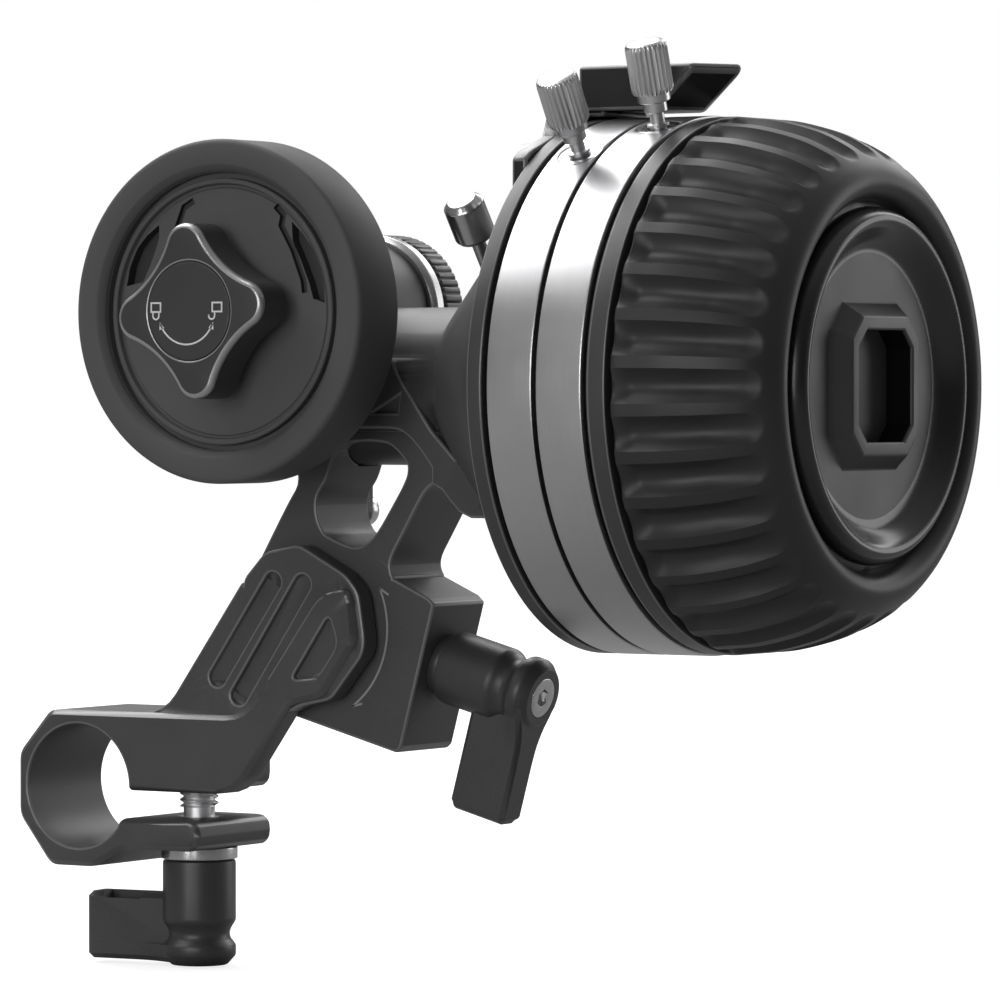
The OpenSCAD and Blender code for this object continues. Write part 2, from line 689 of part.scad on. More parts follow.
// Puts children at the three plate screws
module at_plate_screw(turn) {
  translate([0, wheel_y, wheel_z]) rotate([turn, 0, 0]) translate([0, 0, boss_ring_r])
    rotate([0, 90, 0]) children();
}
module tie_lug(p) {
  sweep_y(upper_back, upper_back + lug_t) {
    translate(p) circle(r = lug_r);
    translate([p[0] - lug_r, p[1]]) square([lug_r * 2, wheel_z - p[1]]);
  }
}
module gear_housing() {
  deep = at_pivot(gusset_deep_shares, rise);
  color(body_c) difference() {
    union() {
      rod_x(tube_start, plate_x, tube_r);
      bell_shell();
      rod_y(gear_x, gear_z, nose_front, nose_end, nose_r);
      sweep_y(gusset_y, upper_y) polygon(rounded(at_pivot(gusset_shares, rise), arm_round));
      sweep_y(gusset_y, upper_back) polygon(deep);
      for (turn = [0, 120, 240]) at_plate_screw(turn) translate([0, 0, bell_mid_x])
        cylinder(h = plate_x - bell_mid_x, r = boss_post_r);
      for (p = at_pivot(tie_shares, rise)) tie_lug(p);
    }
    rod_x(tube_start - over, plate_x + over, tube_bore_r);
    rod_y(gear_x, gear_z, nose_end, nose_end + tube_r, collar_r + side_gap);
    rod_y(gear_x, gear_z, nose_front - over, nose_end + over, nose_bore_r);
    sweep_y(gusset_y - over, gusset_y + groove_d) polygon(at_pivot(gusset_notch_shares, rise));
    for (turn = [0, 120, 240]) at_plate_screw(turn)
      translate([0, 0, plate_x + plate_t - plate_screw_l])
      cylinder(h = plate_screw_l, r = plate_screw_r);
    for (p = at_pivot(tie_shares, rise))
      rod_y(p[0], p[1], upper_back - over, upper_back + lug_t + over, tie_r);
    on_radial(pin_x, pin_angle) translate([0, 0, tube_r + side_gap]) {
      cylinder(h = bell_r - tube_r, r = pin_neck_r + run_fit);
      cylinder(h = pin_root_r + pin_stop_t - tube_r, r = pin_stop_r + side_gap);
    }
  }
}
module housing_end_cap() {
  color(body_c) turn_x([[0, tube_start], [tube_bore_r - edge, tube_start],
    [tube_bore_r, tube_start + edge], [tube_bore_r, tube_start + end_cap_t],
    [0, tube_start + end_cap_t]]);
}
module tie_screw(p) {
  head_y = upper_back + lug_t;
  color(steel_c) difference() {
    union() {
      rod_y(p[0], p[1], upper_back - tie_depth, head_y, tie_r);
      rod_y(p[0], p[1], head_y, head_y + tie_head_t, tie_head_r);
    }
    translate([p[0], head_y + tie_head_t + over, p[1]]) rotate([90, 0, 0])
      cylinder(h = tie_head_t * 0.6 + over, r = tie_head_r * 0.5, $fn = 6);
  }
}
module housing_screw_a() {
  tie_screw(at_pivot(tie_shares, rise)[0]);
}
module housing_screw_b() {
  tie_screw(at_pivot(tie_shares, rise)[1]);
}
module wheel_bearing_a() {
  x0 = gear_x + nose_bore_r;
  color(steel_c) ring_x_axis(x0, x0 + bearing_w, tube_bore_r, bearing_inner_r);
}
module wheel_bearing_b() {
  x0 = plate_x - bearing_w;
  color(steel_c) ring_x_axis(x0, x0 + bearing_w, tube_bore_r, bearing_inner_r);
}
module gear_bush_a() {
  color(brass_c) ring_y_axis(nose_front, nose_front + bush_w, nose_bore_r,
    gear_shaft_r + run_fit);
}
module gear_bush_b() {
  color(brass_c) ring_y_axis(nose_end - bush_w, nose_end, nose_bore_r,
    gear_shaft_r + run_fit);
}
module back_plate() {
  color(body_c) difference() {
    ring_x_axis(plate_x, plate_x + plate_t, ring_r, core_hub_r + side_gap);
    for (turn = [0, 120, 240]) at_plate_screw(turn) {
      translate([0, 0, plate_x - over]) cylinder(h = plate_t + over * 2, r = plate_screw_r);
      translate([0, 0, plate_x + plate_t - plate_head_t])
        cylinder(h = plate_head_t + over, r = plate_head_r);
    }
    for (side = [-1, 1]) translate([plate_x - over, wheel_y + side * index_screw_y,
      index_screw_z]) rotate([0, 90, 0]) cylinder(h = index_grip_l + over, r = index_screw_r);
  }
}
module plate_screw(turn) {
  color(steel_c) at_plate_screw(turn) difference() {
    union() {
      translate([0, 0, plate_x + plate_t - plate_head_t])
        cylinder(h = plate_head_t, r = plate_head_r);
      translate([0, 0, plate_x + plate_t - plate_screw_l])
        cylinder(h = plate_screw_l - plate_head_t, r = plate_screw_r);
    }
    translate([0, 0, plate_x + plate_t - plate_head_t * 0.6])
      cylinder(h = plate_head_t, r = plate_head_r * 0.5, $fn = 6);
  }
}
module back_screw_a() {
  plate_screw(0);
}
module back_screw_b() {
  plate_screw(120);
}
module back_screw_c() {
  plate_screw(240);
}

// One of the pointer's two front sides, undercut below and swept across the tip
module index_side(turn) {
  translate([index_tip, wheel_y, 0]) rotate(turn) translate([0, index_w * 2, 0])
    rotate([90, 0, 0]) linear_extrude(index_w * 4)
    polygon([[-index_w * 4, index_z - over], [-index_undercut, index_z - over],
      [-index_undercut, index_z], [0, index_z + index_h * 0.83], [0, index_z + index_h],
      [-index_w * 4, index_z + index_h]]);
}
module index_block() {
  intersection() {
    translate([index_x, wheel_y - index_w / 2, index_z])
      cube([index_tip - index_x, index_w, index_h]);
    index_side(index_tip_turn);
    index_side(-index_tip_turn);
  }
}
module index_bracket() {
  stem_foot = wheel_z + ring_r + seat_gap;
  color(body_c) difference() {
    union() {
      translate([bracket_x, wheel_y, wheel_z]) rotate([90, 0, 90]) linear_extrude(bracket_t)
        polygon([for (p = bracket_shares) p * ring_r]);
      translate([bracket_x, wheel_y - stem_w / 2, stem_foot])
        cube([ring_x - side_gap - bracket_x, stem_w, index_z + edge - stem_foot]);
      index_block();
    }
    rod_x(bracket_x - over, plate_x + over, bell_r + seat_gap);
    for (side = [-1, 1]) translate([bracket_x - over, wheel_y + side * index_screw_y,
      index_screw_z]) rotate([0, 90, 0]) cylinder(h = bracket_t + over * 2, r = index_screw_r);
  }
}
module index_screw(side) {
  color(steel_c) translate([bracket_x, wheel_y + side * index_screw_y, index_screw_z])
    rotate([0, 90, 0]) difference() {
      union() {
        translate([0, 0, -index_head_t]) cylinder(h = index_head_t, r = index_head_r);
        cylinder(h = bracket_t + index_grip_l, r = index_screw_r);
      }
      translate([0, 0, -index_head_t - over])
        cylinder(h = index_head_t * 0.6 + over, r = index_head_r * 0.5, $fn = 6);
    }
}
module index_screw_a() {
  index_screw(-1);
}
module index_screw_b() {
  index_screw(1);
}
module lock_pin() {
  color(steel_c) on_radial(pin_x, pin_angle) rotate_extrude() polygon([[0, pin_root_r],
    [pin_stop_r, pin_root_r], [pin_stop_r, pin_root_r + pin_stop_t],
    [pin_neck_r, pin_root_r + pin_stop_t], [pin_neck_r, pin_head_r0],
    [pin_r * 0.85, pin_head_r0], [pin_r, pin_head_r0 + edge],
    [pin_r, pin_head_r0 + pin_head_l - edge * 1.5],
    [pin_r * 0.7, pin_head_r0 + pin_head_l], [0, pin_head_r0 + pin_head_l]]);
}

// Collar behind the nose
module collar_ring() {
  color(ring_c) turn_y([[0, collar_y], [collar_r * 0.94, collar_y],
    [collar_r, collar_y + collar_r * 0.06], [collar_r, collar_y + collar_ring_t - edge / 2],
    [collar_r - edge / 2, collar_y + collar_ring_t], [spigot_r, collar_y + collar_ring_t],
    [spigot_r, collar_end - collar_cap_t], [collar_stub_r, collar_end - collar_cap_t],
    [collar_stub_r, collar_start], [0, collar_start]]);
}
module release_collar() {
  seat = collar_end - collar_cap_t - collar_gap;
  color(body_c) difference() {
    intersection() {
      sweep_y(collar_start, collar_end) translate([gear_x, gear_z])
        polygon([for (i = [0 : collar_ribs * 2 - 1])
          let (a = i * 180 / collar_ribs, r = i % 2 == 0 ? collar_r + over : collar_r * rib_share)
          [r * cos(a), r * sin(a)]]);
      turn_y([[0, collar_start], [collar_r - edge, collar_start],
        [collar_r, collar_start + edge], [collar_r, collar_end - edge],
        [collar_r - edge, collar_end], [0, collar_end]]);
    }
    rod_y(gear_x, gear_z, collar_start - over, collar_end + over, spigot_r + run_fit);
    rod_y(gear_x, gear_z, seat, collar_end + over, collar_cap_r + side_gap);
  }
}
module collar_cap() {
  color(steel_c) difference() {
    union() {
      rod_y(gear_x, gear_z, collar_end - collar_cap_t, collar_end, collar_cap_r);
      rod_y(gear_x, gear_z, collar_start + edge, collar_end - collar_cap_t, collar_stub_r);
    }
    translate([gear_x - collar_cap_r * 0.6, collar_end - collar_cap_t / 2,
      gear_z - collar_cap_t / 2]) cube([collar_cap_r * 1.2, collar_cap_t, collar_cap_t]);
  }
}

// Gear shaft and the parts on it
module gear_shaft() {
  color(steel_c) difference() {
    rod_y(gear_x, gear_z, shaft_front, nose_end - collar_gap, gear_shaft_r);
    rod_y(gear_x, gear_z, shaft_front - over, bolt_seat + bolt_l, bolt_r);
  }
}
// Slanted tooth slots cut across the rim of a cross gear, drawn along Z
module cross_gear(bore) {
  deep = cross_r * 0.21;
  difference() {
    cylinder(h = cross_w, r = cross_r);
    translate([0, 0, -over]) cylinder(h = cross_w + over * 2, r = bore);
    for (i = [0 : cross_slots - 1]) rotate(i * 360 / cross_slots)
      translate([cross_r - deep, 0, cross_w / 2]) rotate([45, 0, 0])
      translate([0, -cross_slot_w / 2, -cross_w]) cube([deep * 2, cross_slot_w, cross_w * 2]);
  }
}
module cross_gear_y() {
  color(brass_c) translate([gear_x, wheel_y - cross_w / 2, gear_z]) rotate([-90, 0, 0])
    cross_gear(gear_shaft_r);
}
module cross_gear_x() {
  color(steel_c) translate([gear_x - cross_w / 2, wheel_y, wheel_z]) rotate([0, 90, 0])
    cross_gear(wheel_shaft_r);
}
// Outline of the drive gear's teeth
module tooth_outline() {
  polygon([for (i = [0 : teeth - 1]) for (p = [[-0.31, root_r], [-0.24, pitch_r],
    [-0.13, tip_r], [0.13, tip_r], [0.24, pitch_r], [0.31, root_r]])
    let (a = (i + p[0]) * tooth_angle) [p[1] * cos(a), p[1] * sin(a)]]);
}
// A slot along an arc between two angles
module arc_slot(r_in, r_out, sweep) {
  steps = 8;
  polygon(concat([for (i = [0 : steps]) let (a = sweep[0] + (sweep[1] - sweep[0]) * i / steps)
    [r_out * cos(a), r_out * sin(a)]], [for (i = [steps : -1 : 0])
    let (a = sweep[0] + (sweep[1] - sweep[0]) * i / steps) [r_in * cos(a), r_in * sin(a)]]));
}
module drive_gear() {
  color(mark_c) difference() {
    union() {
      sweep_y(gear_y, gear_y + gear_w) translate([gear_x, gear_z]) tooth_outline();
      rod_y(gear_x, gear_z, web_y, hub_end, hub_r);
    }
    ring_y_axis(web_y + web_t, gear_y + gear_w + over, rim_r, hub_r);
    rod_y(gear_x, gear_z, web_y - over, hub_end + over, gear_shaft_r);
    for (sweep = slot_sweeps) sweep_y(web_y - over, web_y + web_t + over)
      translate([gear_x, gear_z]) arc_slot(slot_in_r, slot_out_r, sweep);
  }
}
module gear_tyre() {
  color(rubber_c) difference() {
    turn_y([[0, tyre_y], [tyre_r - tyre_edge, tyre_y], [tyre_r, tyre_y + tyre_edge],
      [tyre_r, tyre_y + tyre_w - tyre_edge], [tyre_r - tyre_edge, tyre_y + tyre_w],
      [0, tyre_y + tyre_w]]);
    rod_y(gear_x, gear_z, tyre_y - over, tyre_y + tyre_w + over, lip_r);
    rod_y(gear_x, gear_z, gear_y, gear_y + gear_w, tip_r);
  }
}
// Four rounded lobes
module knob_outline() {
  wave = knob_wave_share / 2;
  polygon([for (i = [0 : 95]) let (a = i * 360 / 96,
    r = knob_r * (1 - wave + wave * cos(4 * a - knob_turn))) [r * cos(a), r * sin(a)]]);
}
module lock_knob() {
  color(body_c) difference() {
    union() {
      intersection() {
        sweep_y(knob_y, knob_neck_y) translate([gear_x, gear_z]) knob_outline();
        turn_y([[0, knob_y], [knob_r - edge * 3, knob_y], [knob_r, knob_y + edge * 2],
          [knob_r, knob_neck_y], [0, knob_neck_y]]);
      }
      rod_y(gear_x, gear_z, knob_neck_y, knob_back, knob_neck_r);
    }
    rod_y(gear_x, gear_z, knob_y - over, knob_y + badge_t, badge_r);
    rod_y(gear_x, gear_z, knob_y, bolt_seat, bolt_head_r + side_gap);
    rod_y(gear_x, gear_z, knob_y, knob_back + over, bolt_r + run_fit);
  }
}
module knob_badge() {
  color(gloss_c) rod_y(gear_x, gear_z, knob_y, knob_y + badge_t, badge_r);
}
module knob_bolt() {
  head = bolt_seat - bolt_gap_y - bolt_head_t;
  color(steel_c) difference() {
    union() {
      rod_y(gear_x, gear_z, head, head + bolt_head_t, bolt_head_r);
      rod_y(gear_x, gear_z, head, bolt_seat + bolt_l, bolt_r);
    }
    translate([gear_x, head - over, gear_z]) rotate([-90, 0, 0])
      cylinder(h = bolt_head_t * 0.6 + over, r = bolt_head_r * 0.4, $fn = 6);
  }
}

// Handwheel
module wheel_shaft() {
  color(steel_c) difference() {
    rod_x(shaft_start, hub_face_x, wheel_shaft_r);
    rod_x(hub_face_x - wheel_bolt_l, hub_face_x + over, wheel_bolt_r);
  }
}
core_outline = concat([[journal_r, core_back + core_flange_t]],
  [for (p = core_taper_shares) [journal_r * p[1], grip_x + grip_l * p[0]]],
  [[core_lip_r, cap_x]]);
module wheel_core() {
  color(body_c) turn_x(concat([[wheel_shaft_r, core_back], [core_flange_r, core_back],
    [core_flange_r, core_back + core_flange_t]], core_outline, [[core_mouth_r, cap_x],
    [core_mouth_r, cap_foot], [core_in_r, grip_x + grip_l * 0.4],
    [core_in_r, core_back + core_wall], [core_hub_r, core_back + core_wall],
    [core_hub_r, hub_face_x], [wheel_shaft_r, hub_face_x]]));
}
module wheel_bolt() {
  color(steel_c) difference() {
    union() {
      rod_x(hub_face_x, hub_face_x + wheel_head_t, wheel_head_r);
      rod_x(hub_face_x - wheel_bolt_l, hub_face_x, wheel_bolt_r);
    }
    translate([hub_face_x + wheel_head_t * 0.4, wheel_y, wheel_z]) rotate([0, 90, 0])
      cylinder(h = wheel_head_t, r = wheel_head_r * 0.5, $fn = 6);
  }
}
module bezel_band() {
  color(body_c) turn_x([[journal_r, band_x], [band_r - edge, band_x],
    [band_r, band_x + edge], [band_r, band_x + band_w], [journal_r, band_x + band_w]]);
}
module grip() {
  profile = [for (p = grip_profile_shares) [grip_r * p[1], grip_x + grip_l * p[0]]];
  shell = [for (p = core_taper_shares) [journal_r * p[1], grip_x + grip_l * p[0]]];
  color(rubber_c) difference() {
    turn_x(concat(profile, [[core_lip_r, cap_x]], [shell[1], shell[0]],
      [[journal_r, grip_x]]));
    for (i = [0 : flutes - 1]) translate([grip_x, wheel_y, wheel_z])
      rotate([i * 360 / flutes, 0, 0])
      translate([flute_start[0], 0, flute_start[1] + flute_r])
      rotate([0, 90 + flute_slope, 0]) translate([0, 0, -grip_l * 0.1])
      cylinder(h = grip_l * 1.2, r = flute_r, $fn = 24);
  }
}
module cap_ring() {
  color(gloss_c) turn_x([for (p = cap_profile_shares) [cap_r * p[1], cap_x + cap_h * p[0]]]);
}
// A bar along the wheel axis whose sides slope from base to front
module boss_wedge(turn, base, front) {
  x0 = disc_x - disc_t / 2;
  translate([0, wheel_y, wheel_z]) rotate([turn, 0, 0]) translate([0, boss_base * 2, 0])
    rotate([90, 0, 0]) linear_extrude(boss_base * 4) polygon([[x0, -base], [disc_x, -base],
      [disc_x + boss_h, -front], [disc_x + boss_h, front], [disc_x, base], [x0, base]]);
}
module square_hole(x0, x1) {
  corner = socket_half * socket_corner_share;
  translate([0, wheel_y, wheel_z]) intersection() {
    translate([x0, -socket_half, -socket_half])
      cube([x1 - x0, socket_half * 2, socket_half * 2]);
    rotate([45, 0, 0]) translate([x0, -corner, -corner])
      cube([x1 - x0, corner * 2, corner * 2]);
  }
}
module socket_plate() {
  color(gloss_c) difference() {
    union() {
      rod_x(disc_x - disc_t, disc_x, disc_r);
      rod_x(sleeve_end, disc_x, sleeve_r);
      intersection() {
        boss_wedge(0, boss_base, boss_front);
        boss_wedge(90, boss_base, boss_front);
        boss_wedge(45, boss_base * corner_share, boss_front * corner_share);
        boss_wedge(-45, boss_base * corner_share, boss_front * corner_share);
      }
    }
    square_hole(sleeve_end - over, disc_x + boss_h + over);
  }
}

// Stop rings with their thumbscrews
module stop_ring(x0, angle) {
  color(ring_c) difference() {
    ring_x_axis(x0, x0 + ring_w, ring_r, journal_r + run_fit);
    on_radial(x0 + thumb_x, angle) {
      translate([0, 0, ring_r - bush_t]) cylinder(h = bush_t + over, r = bush_out_r);
      translate([0, 0, journal_r - over]) cylinder(h = ring_r - journal_r, r = thumb_shank_r + run_fit);
    }
  }
}
module thumb_bush(x0, angle) {
  top = sqrt(pow(ring_r, 2) - pow(bush_out_r, 2));
  color(steel_c) on_radial(x0 + thumb_x, angle) difference() {
    translate([0, 0, ring_r - bush_t]) cylinder(h = top - ring_r + bush_t, r = bush_out_r);
    translate([0, 0, ring_r - bush_t - over])
      cylinder(h = bush_t + over * 2, r = thumb_shank_r + run_fit);
  }
}
module thumb_screw(x0, angle) {
  foot = journal_r + thumb_tip_gap;
  head = ring_r + thumb_h * thumb_neck_share;
  top = ring_r + thumb_h;
  color(steel_c) on_radial(x0 + thumb_x, angle) {
    rotate_extrude() polygon([[0, foot], [thumb_shank_r, foot],
      [thumb_shank_r, ring_r + thumb_h * thumb_step_shares[0]],
      [thumb_r * thumb_neck_shares[0], ring_r + thumb_h * thumb_step_shares[0]],
      [thumb_r * thumb_neck_shares[0], ring_r + thumb_h * thumb_step_shares[1]],
      [thumb_r * thumb_neck_shares[1], ring_r + thumb_h * thumb_step_shares[1]],
      [thumb_r * thumb_neck_shares[1], head + edge], [0, head + edge]]);
    intersection() {
      translate([0, 0, head]) linear_extrude(top - head)
        polygon([for (i = [0 : thumb_flutes * 2 - 1])
          let (a = i * 180 / thumb_flutes, r = i % 2 == 0 ? thumb_r : thumb_r * thumb_rib_share)
          [r * cos(a), r * sin(a)]]);
      rotate_extrude() polygon([[0, head], [thumb_r * 0.86, head], [thumb_r, head + edge],
        [thumb_r, top - edge * 1.5], [thumb_r * 0.75, top - edge / 2], [thumb_r * 0.4, top],
        [0, top]]);
    }
  }
}
module stop_ring_a() {
  stop_ring(ring_x, thumb_a_angle);
}
module stop_ring_b() {
  stop_ring(ring_b_x, thumb_b_angle);
}
module thumb_bush_a() {
  thumb_bush(ring_x, thumb_a_angle);
}
module thumb_bush_b() {
  thumb_bush(ring_b_x, thumb_b_angle);
}
module thumb_screw_a() {
  thumb_screw(ring_x, thumb_a_angle);
}
module thumb_screw_b() {
  thumb_screw(ring_b_x, thumb_b_angle);
}

rod_clamp_arm();
pivot_shaft();
pivot_retainer();
pivot_screw();
clamp_washer();
clamp_stud();
clamp_lever();
clamp_lever_cap();
upper_arm();
brake_pad();
arm_washer();
arm_stud();
arm_lever();
arm_lever_cap();
gear_housing();
housing_end_cap();
housing_screw_a();
housing_screw_b();
wheel_bearing_a();
wheel_bearing_b();
gear_bush_a();
gear_bush_b();
back_plate();
back_screw_a();
back_screw_b();
back_screw_c();
index_bracket();
index_screw_a();
index_screw_b();
lock_pin();
collar_ring();
release_collar();
collar_cap();
gear_shaft();
cross_gear_y();
drive_gear();
gear_tyre();
lock_knob();
knob_badge();
knob_bolt();
wheel_shaft();
cross_gear_x();
wheel_core();
wheel_bolt();
bezel_band();
grip();
cap_ring();
socket_plate();
stop_ring_a();
stop_ring_b();
thumb_bush_a();
thumb_bush_b();
thumb_screw_a();
thumb_screw_b();
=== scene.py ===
import json
import math
import bmesh
import bpy
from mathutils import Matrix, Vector


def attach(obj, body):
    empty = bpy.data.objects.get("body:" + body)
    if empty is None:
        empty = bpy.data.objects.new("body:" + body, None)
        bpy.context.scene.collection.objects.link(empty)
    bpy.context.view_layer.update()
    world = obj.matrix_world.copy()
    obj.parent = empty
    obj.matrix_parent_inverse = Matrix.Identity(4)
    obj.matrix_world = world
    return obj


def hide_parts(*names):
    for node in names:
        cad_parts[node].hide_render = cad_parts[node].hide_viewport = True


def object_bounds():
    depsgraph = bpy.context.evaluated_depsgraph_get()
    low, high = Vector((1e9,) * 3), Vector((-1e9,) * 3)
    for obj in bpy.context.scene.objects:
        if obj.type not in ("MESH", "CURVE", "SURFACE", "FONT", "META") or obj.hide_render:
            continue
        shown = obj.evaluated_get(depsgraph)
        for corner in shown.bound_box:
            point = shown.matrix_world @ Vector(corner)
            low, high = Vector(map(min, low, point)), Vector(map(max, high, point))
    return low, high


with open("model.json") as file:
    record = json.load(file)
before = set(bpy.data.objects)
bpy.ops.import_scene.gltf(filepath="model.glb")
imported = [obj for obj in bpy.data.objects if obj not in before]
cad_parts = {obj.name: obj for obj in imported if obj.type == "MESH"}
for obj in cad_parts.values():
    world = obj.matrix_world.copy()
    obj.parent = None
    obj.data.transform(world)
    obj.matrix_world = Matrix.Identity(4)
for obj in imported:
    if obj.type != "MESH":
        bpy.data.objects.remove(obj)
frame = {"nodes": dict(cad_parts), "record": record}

cad_box = [list(v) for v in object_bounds()]
MM = 0.001
RECORD = frame["record"]
BODY_OF = {node: body for body, nodes in RECORD["behaviour"]["bodies"].items()
           for node in nodes}
SLOT_OF = {part["node"]: part["material_slot"] for part in RECORD["subparts"]}
JOINT_MM = {joint["name"]: [v / MM for v in joint["pos_m"]]
            for joint in RECORD["behaviour"]["joints"] if "pos_m" in joint}

# Axes of the object, in mm as all sizes are where no other unit is named
WHEEL_Y, WHEEL_Z = JOINT_MM["wheel_turn"][1:]
GEAR_X, GEAR_Z = JOINT_MM["gear_turn"][::2]
PIVOT_X, PIVOT_Y, PIVOT_Z = JOINT_MM["arm_tilt"]
CLAMP_SCREW_X, CLAMP_SCREW_Y = JOINT_MM["clamp_lever_turn"][:2]
RING_R = 31.2

# Camera of the photograph, in degrees and metres
CAM_AZ, CAM_EL, CAM_DIST = 31.987, 1.076, 0.664817
CAM_TARGET = Vector((0.060573, 0, 0.035363))
CAM_LENS, CAM_SENSOR = 206.5, 36
CAM_NEAR, CAM_FAR = 0.05, 20

# Noise of the materials, and how two noises share the tone
NOISE_LOW, NOISE_HIGH, NOISE_ROUGH = 0.3, 0.7, 0.6
DRIFT_SCALE, DRIFT_DETAIL = 95, 4
FINE_SHARE, DRIFT_SHARE = 0.55, 0.45
BLUE_TINT = 1.015


class Nodes:
    """Short calls for building a node tree."""

    def __init__(self, tree, output):
        self.tree = tree
        self.tree.nodes.clear()
        self.out = self.add(output)
        self.coord = self.add("ShaderNodeTexCoord")

    def add(self, kind, **values):
        node = self.tree.nodes.new(kind)
        for key, value in values.items():
            setattr(node, key, value)
        return node

    def link(self, a, b):
        self.tree.links.new(a, b)

    def math(self, operation, *inputs):
        """A sum of sockets and plain numbers."""
        node = self.add("ShaderNodeMath", operation=operation)
        for socket, value in zip(node.inputs, inputs):
            if isinstance(value, (int, float)):
                socket.default_value = value
            else:
                self.link(value, socket)
        return node.outputs[0]

    def noise(self, scale, stretch=(1, 1, 1), detail=3):
        mapping = self.add("ShaderNodeMapping")
        mapping.inputs["Scale"].default_value = stretch
        self.link(self.coord.outputs["Object"], mapping.inputs["Vector"])
        tex = self.add("ShaderNodeTexNoise")
        tex.inputs["Scale"].default_value = scale
        tex.inputs["Detail"].default_value = detail
        tex.inputs["Roughness"].default_value = NOISE_ROUGH
        self.link(mapping.outputs[0], tex.inputs["Vector"])
        return tex.outputs["Fac"]

    def ramp(self, value, low, high, lo_out, hi_out, shape="LINEAR"):
        node = self.add("ShaderNodeMapRange", interpolation_type=shape)
        for key, number in (("From Min", low), ("From Max", high), ("To Min", lo_out),
                            ("To Max", hi_out)):
            node.inputs[key].default_value = number
        self.link(value, node.inputs["Value"])
        return node.outputs[0]

    def glow(self, kind, strength=None, level=1):
        """Neutral light, at full strength or at a socket's."""
        node = self.add(kind)
        node.inputs["Color"].default_value = (level, level, level, 1)
        if strength:
            self.link(strength, node.inputs["Strength"])
        return node.outputs[0]


class Surface(Nodes):
    """The node tree of a material with one principled shader."""

    def __init__(self, name):
        self.mat = bpy.data.materials.new(name)
        self.mat.use_nodes = True
        super().__init__(self.mat.node_tree, "ShaderNodeOutputMaterial")
        self.bsdf = self.add("ShaderNodeBsdfPrincipled")
        self.link(self.bsdf.outputs[0], self.out.inputs[0])

    def tint(self, value, dark, light):
        node = self.add("ShaderNodeMix", data_type="RGBA")
        self.link(value, node.inputs["Factor"])
        node.inputs["A"].default_value = (*dark, 1)
        node.inputs["B"].default_value = (*light, 1)
        self.link(node.outputs["Result"], self.bsdf.inputs["Base Color"])

    def bump(self, height, strength, distance):
        node = self.add("ShaderNodeBump")
        node.inputs["Strength"].default_value = strength
        node.inputs["Distance"].default_value = distance
        self.link(height, node.inputs["Height"])
        self.link(node.outputs[0], self.bsdf.inputs["Normal"])

    def set(self, **values):
        for key, value in values.items():
            self.bsdf.inputs[key.replace("_", " ")].default_value = value
        return self.mat


def grey(value):
    return (value, value, value * BLUE_TINT)


def coat(name, level, spread, roughness, rough_spread, metallic, grain_scale, grain_depth,
         stretch=(1, 1, 1), specular=0.5, grain_strength=0.35):
    """A grey coat with fine grain, a slow drift of tone and uneven roughness."""
    n = Surface(name)
    slow = n.noise(DRIFT_SCALE, detail=DRIFT_DETAIL)
    fine = n.noise(grain_scale, stretch)
    mixed = n.math("MULTIPLY_ADD", fine, FINE_SHARE, n.math("MULTIPLY", slow, DRIFT_SHARE))
    n.tint(n.ramp(mixed, NOISE_LOW, NOISE_HIGH, 0, 1), grey(level * (1 - spread)),
           grey(level * (1 + spread)))
    n.link(n.ramp(slow, NOISE_LOW, NOISE_HIGH, roughness - rough_spread,
                  roughness + rough_spread), n.bsdf.inputs["Roughness"])
    n.bump(fine, grain_strength, grain_depth)
    return n.set(Metallic=metallic, Specular_IOR_Level=specular)


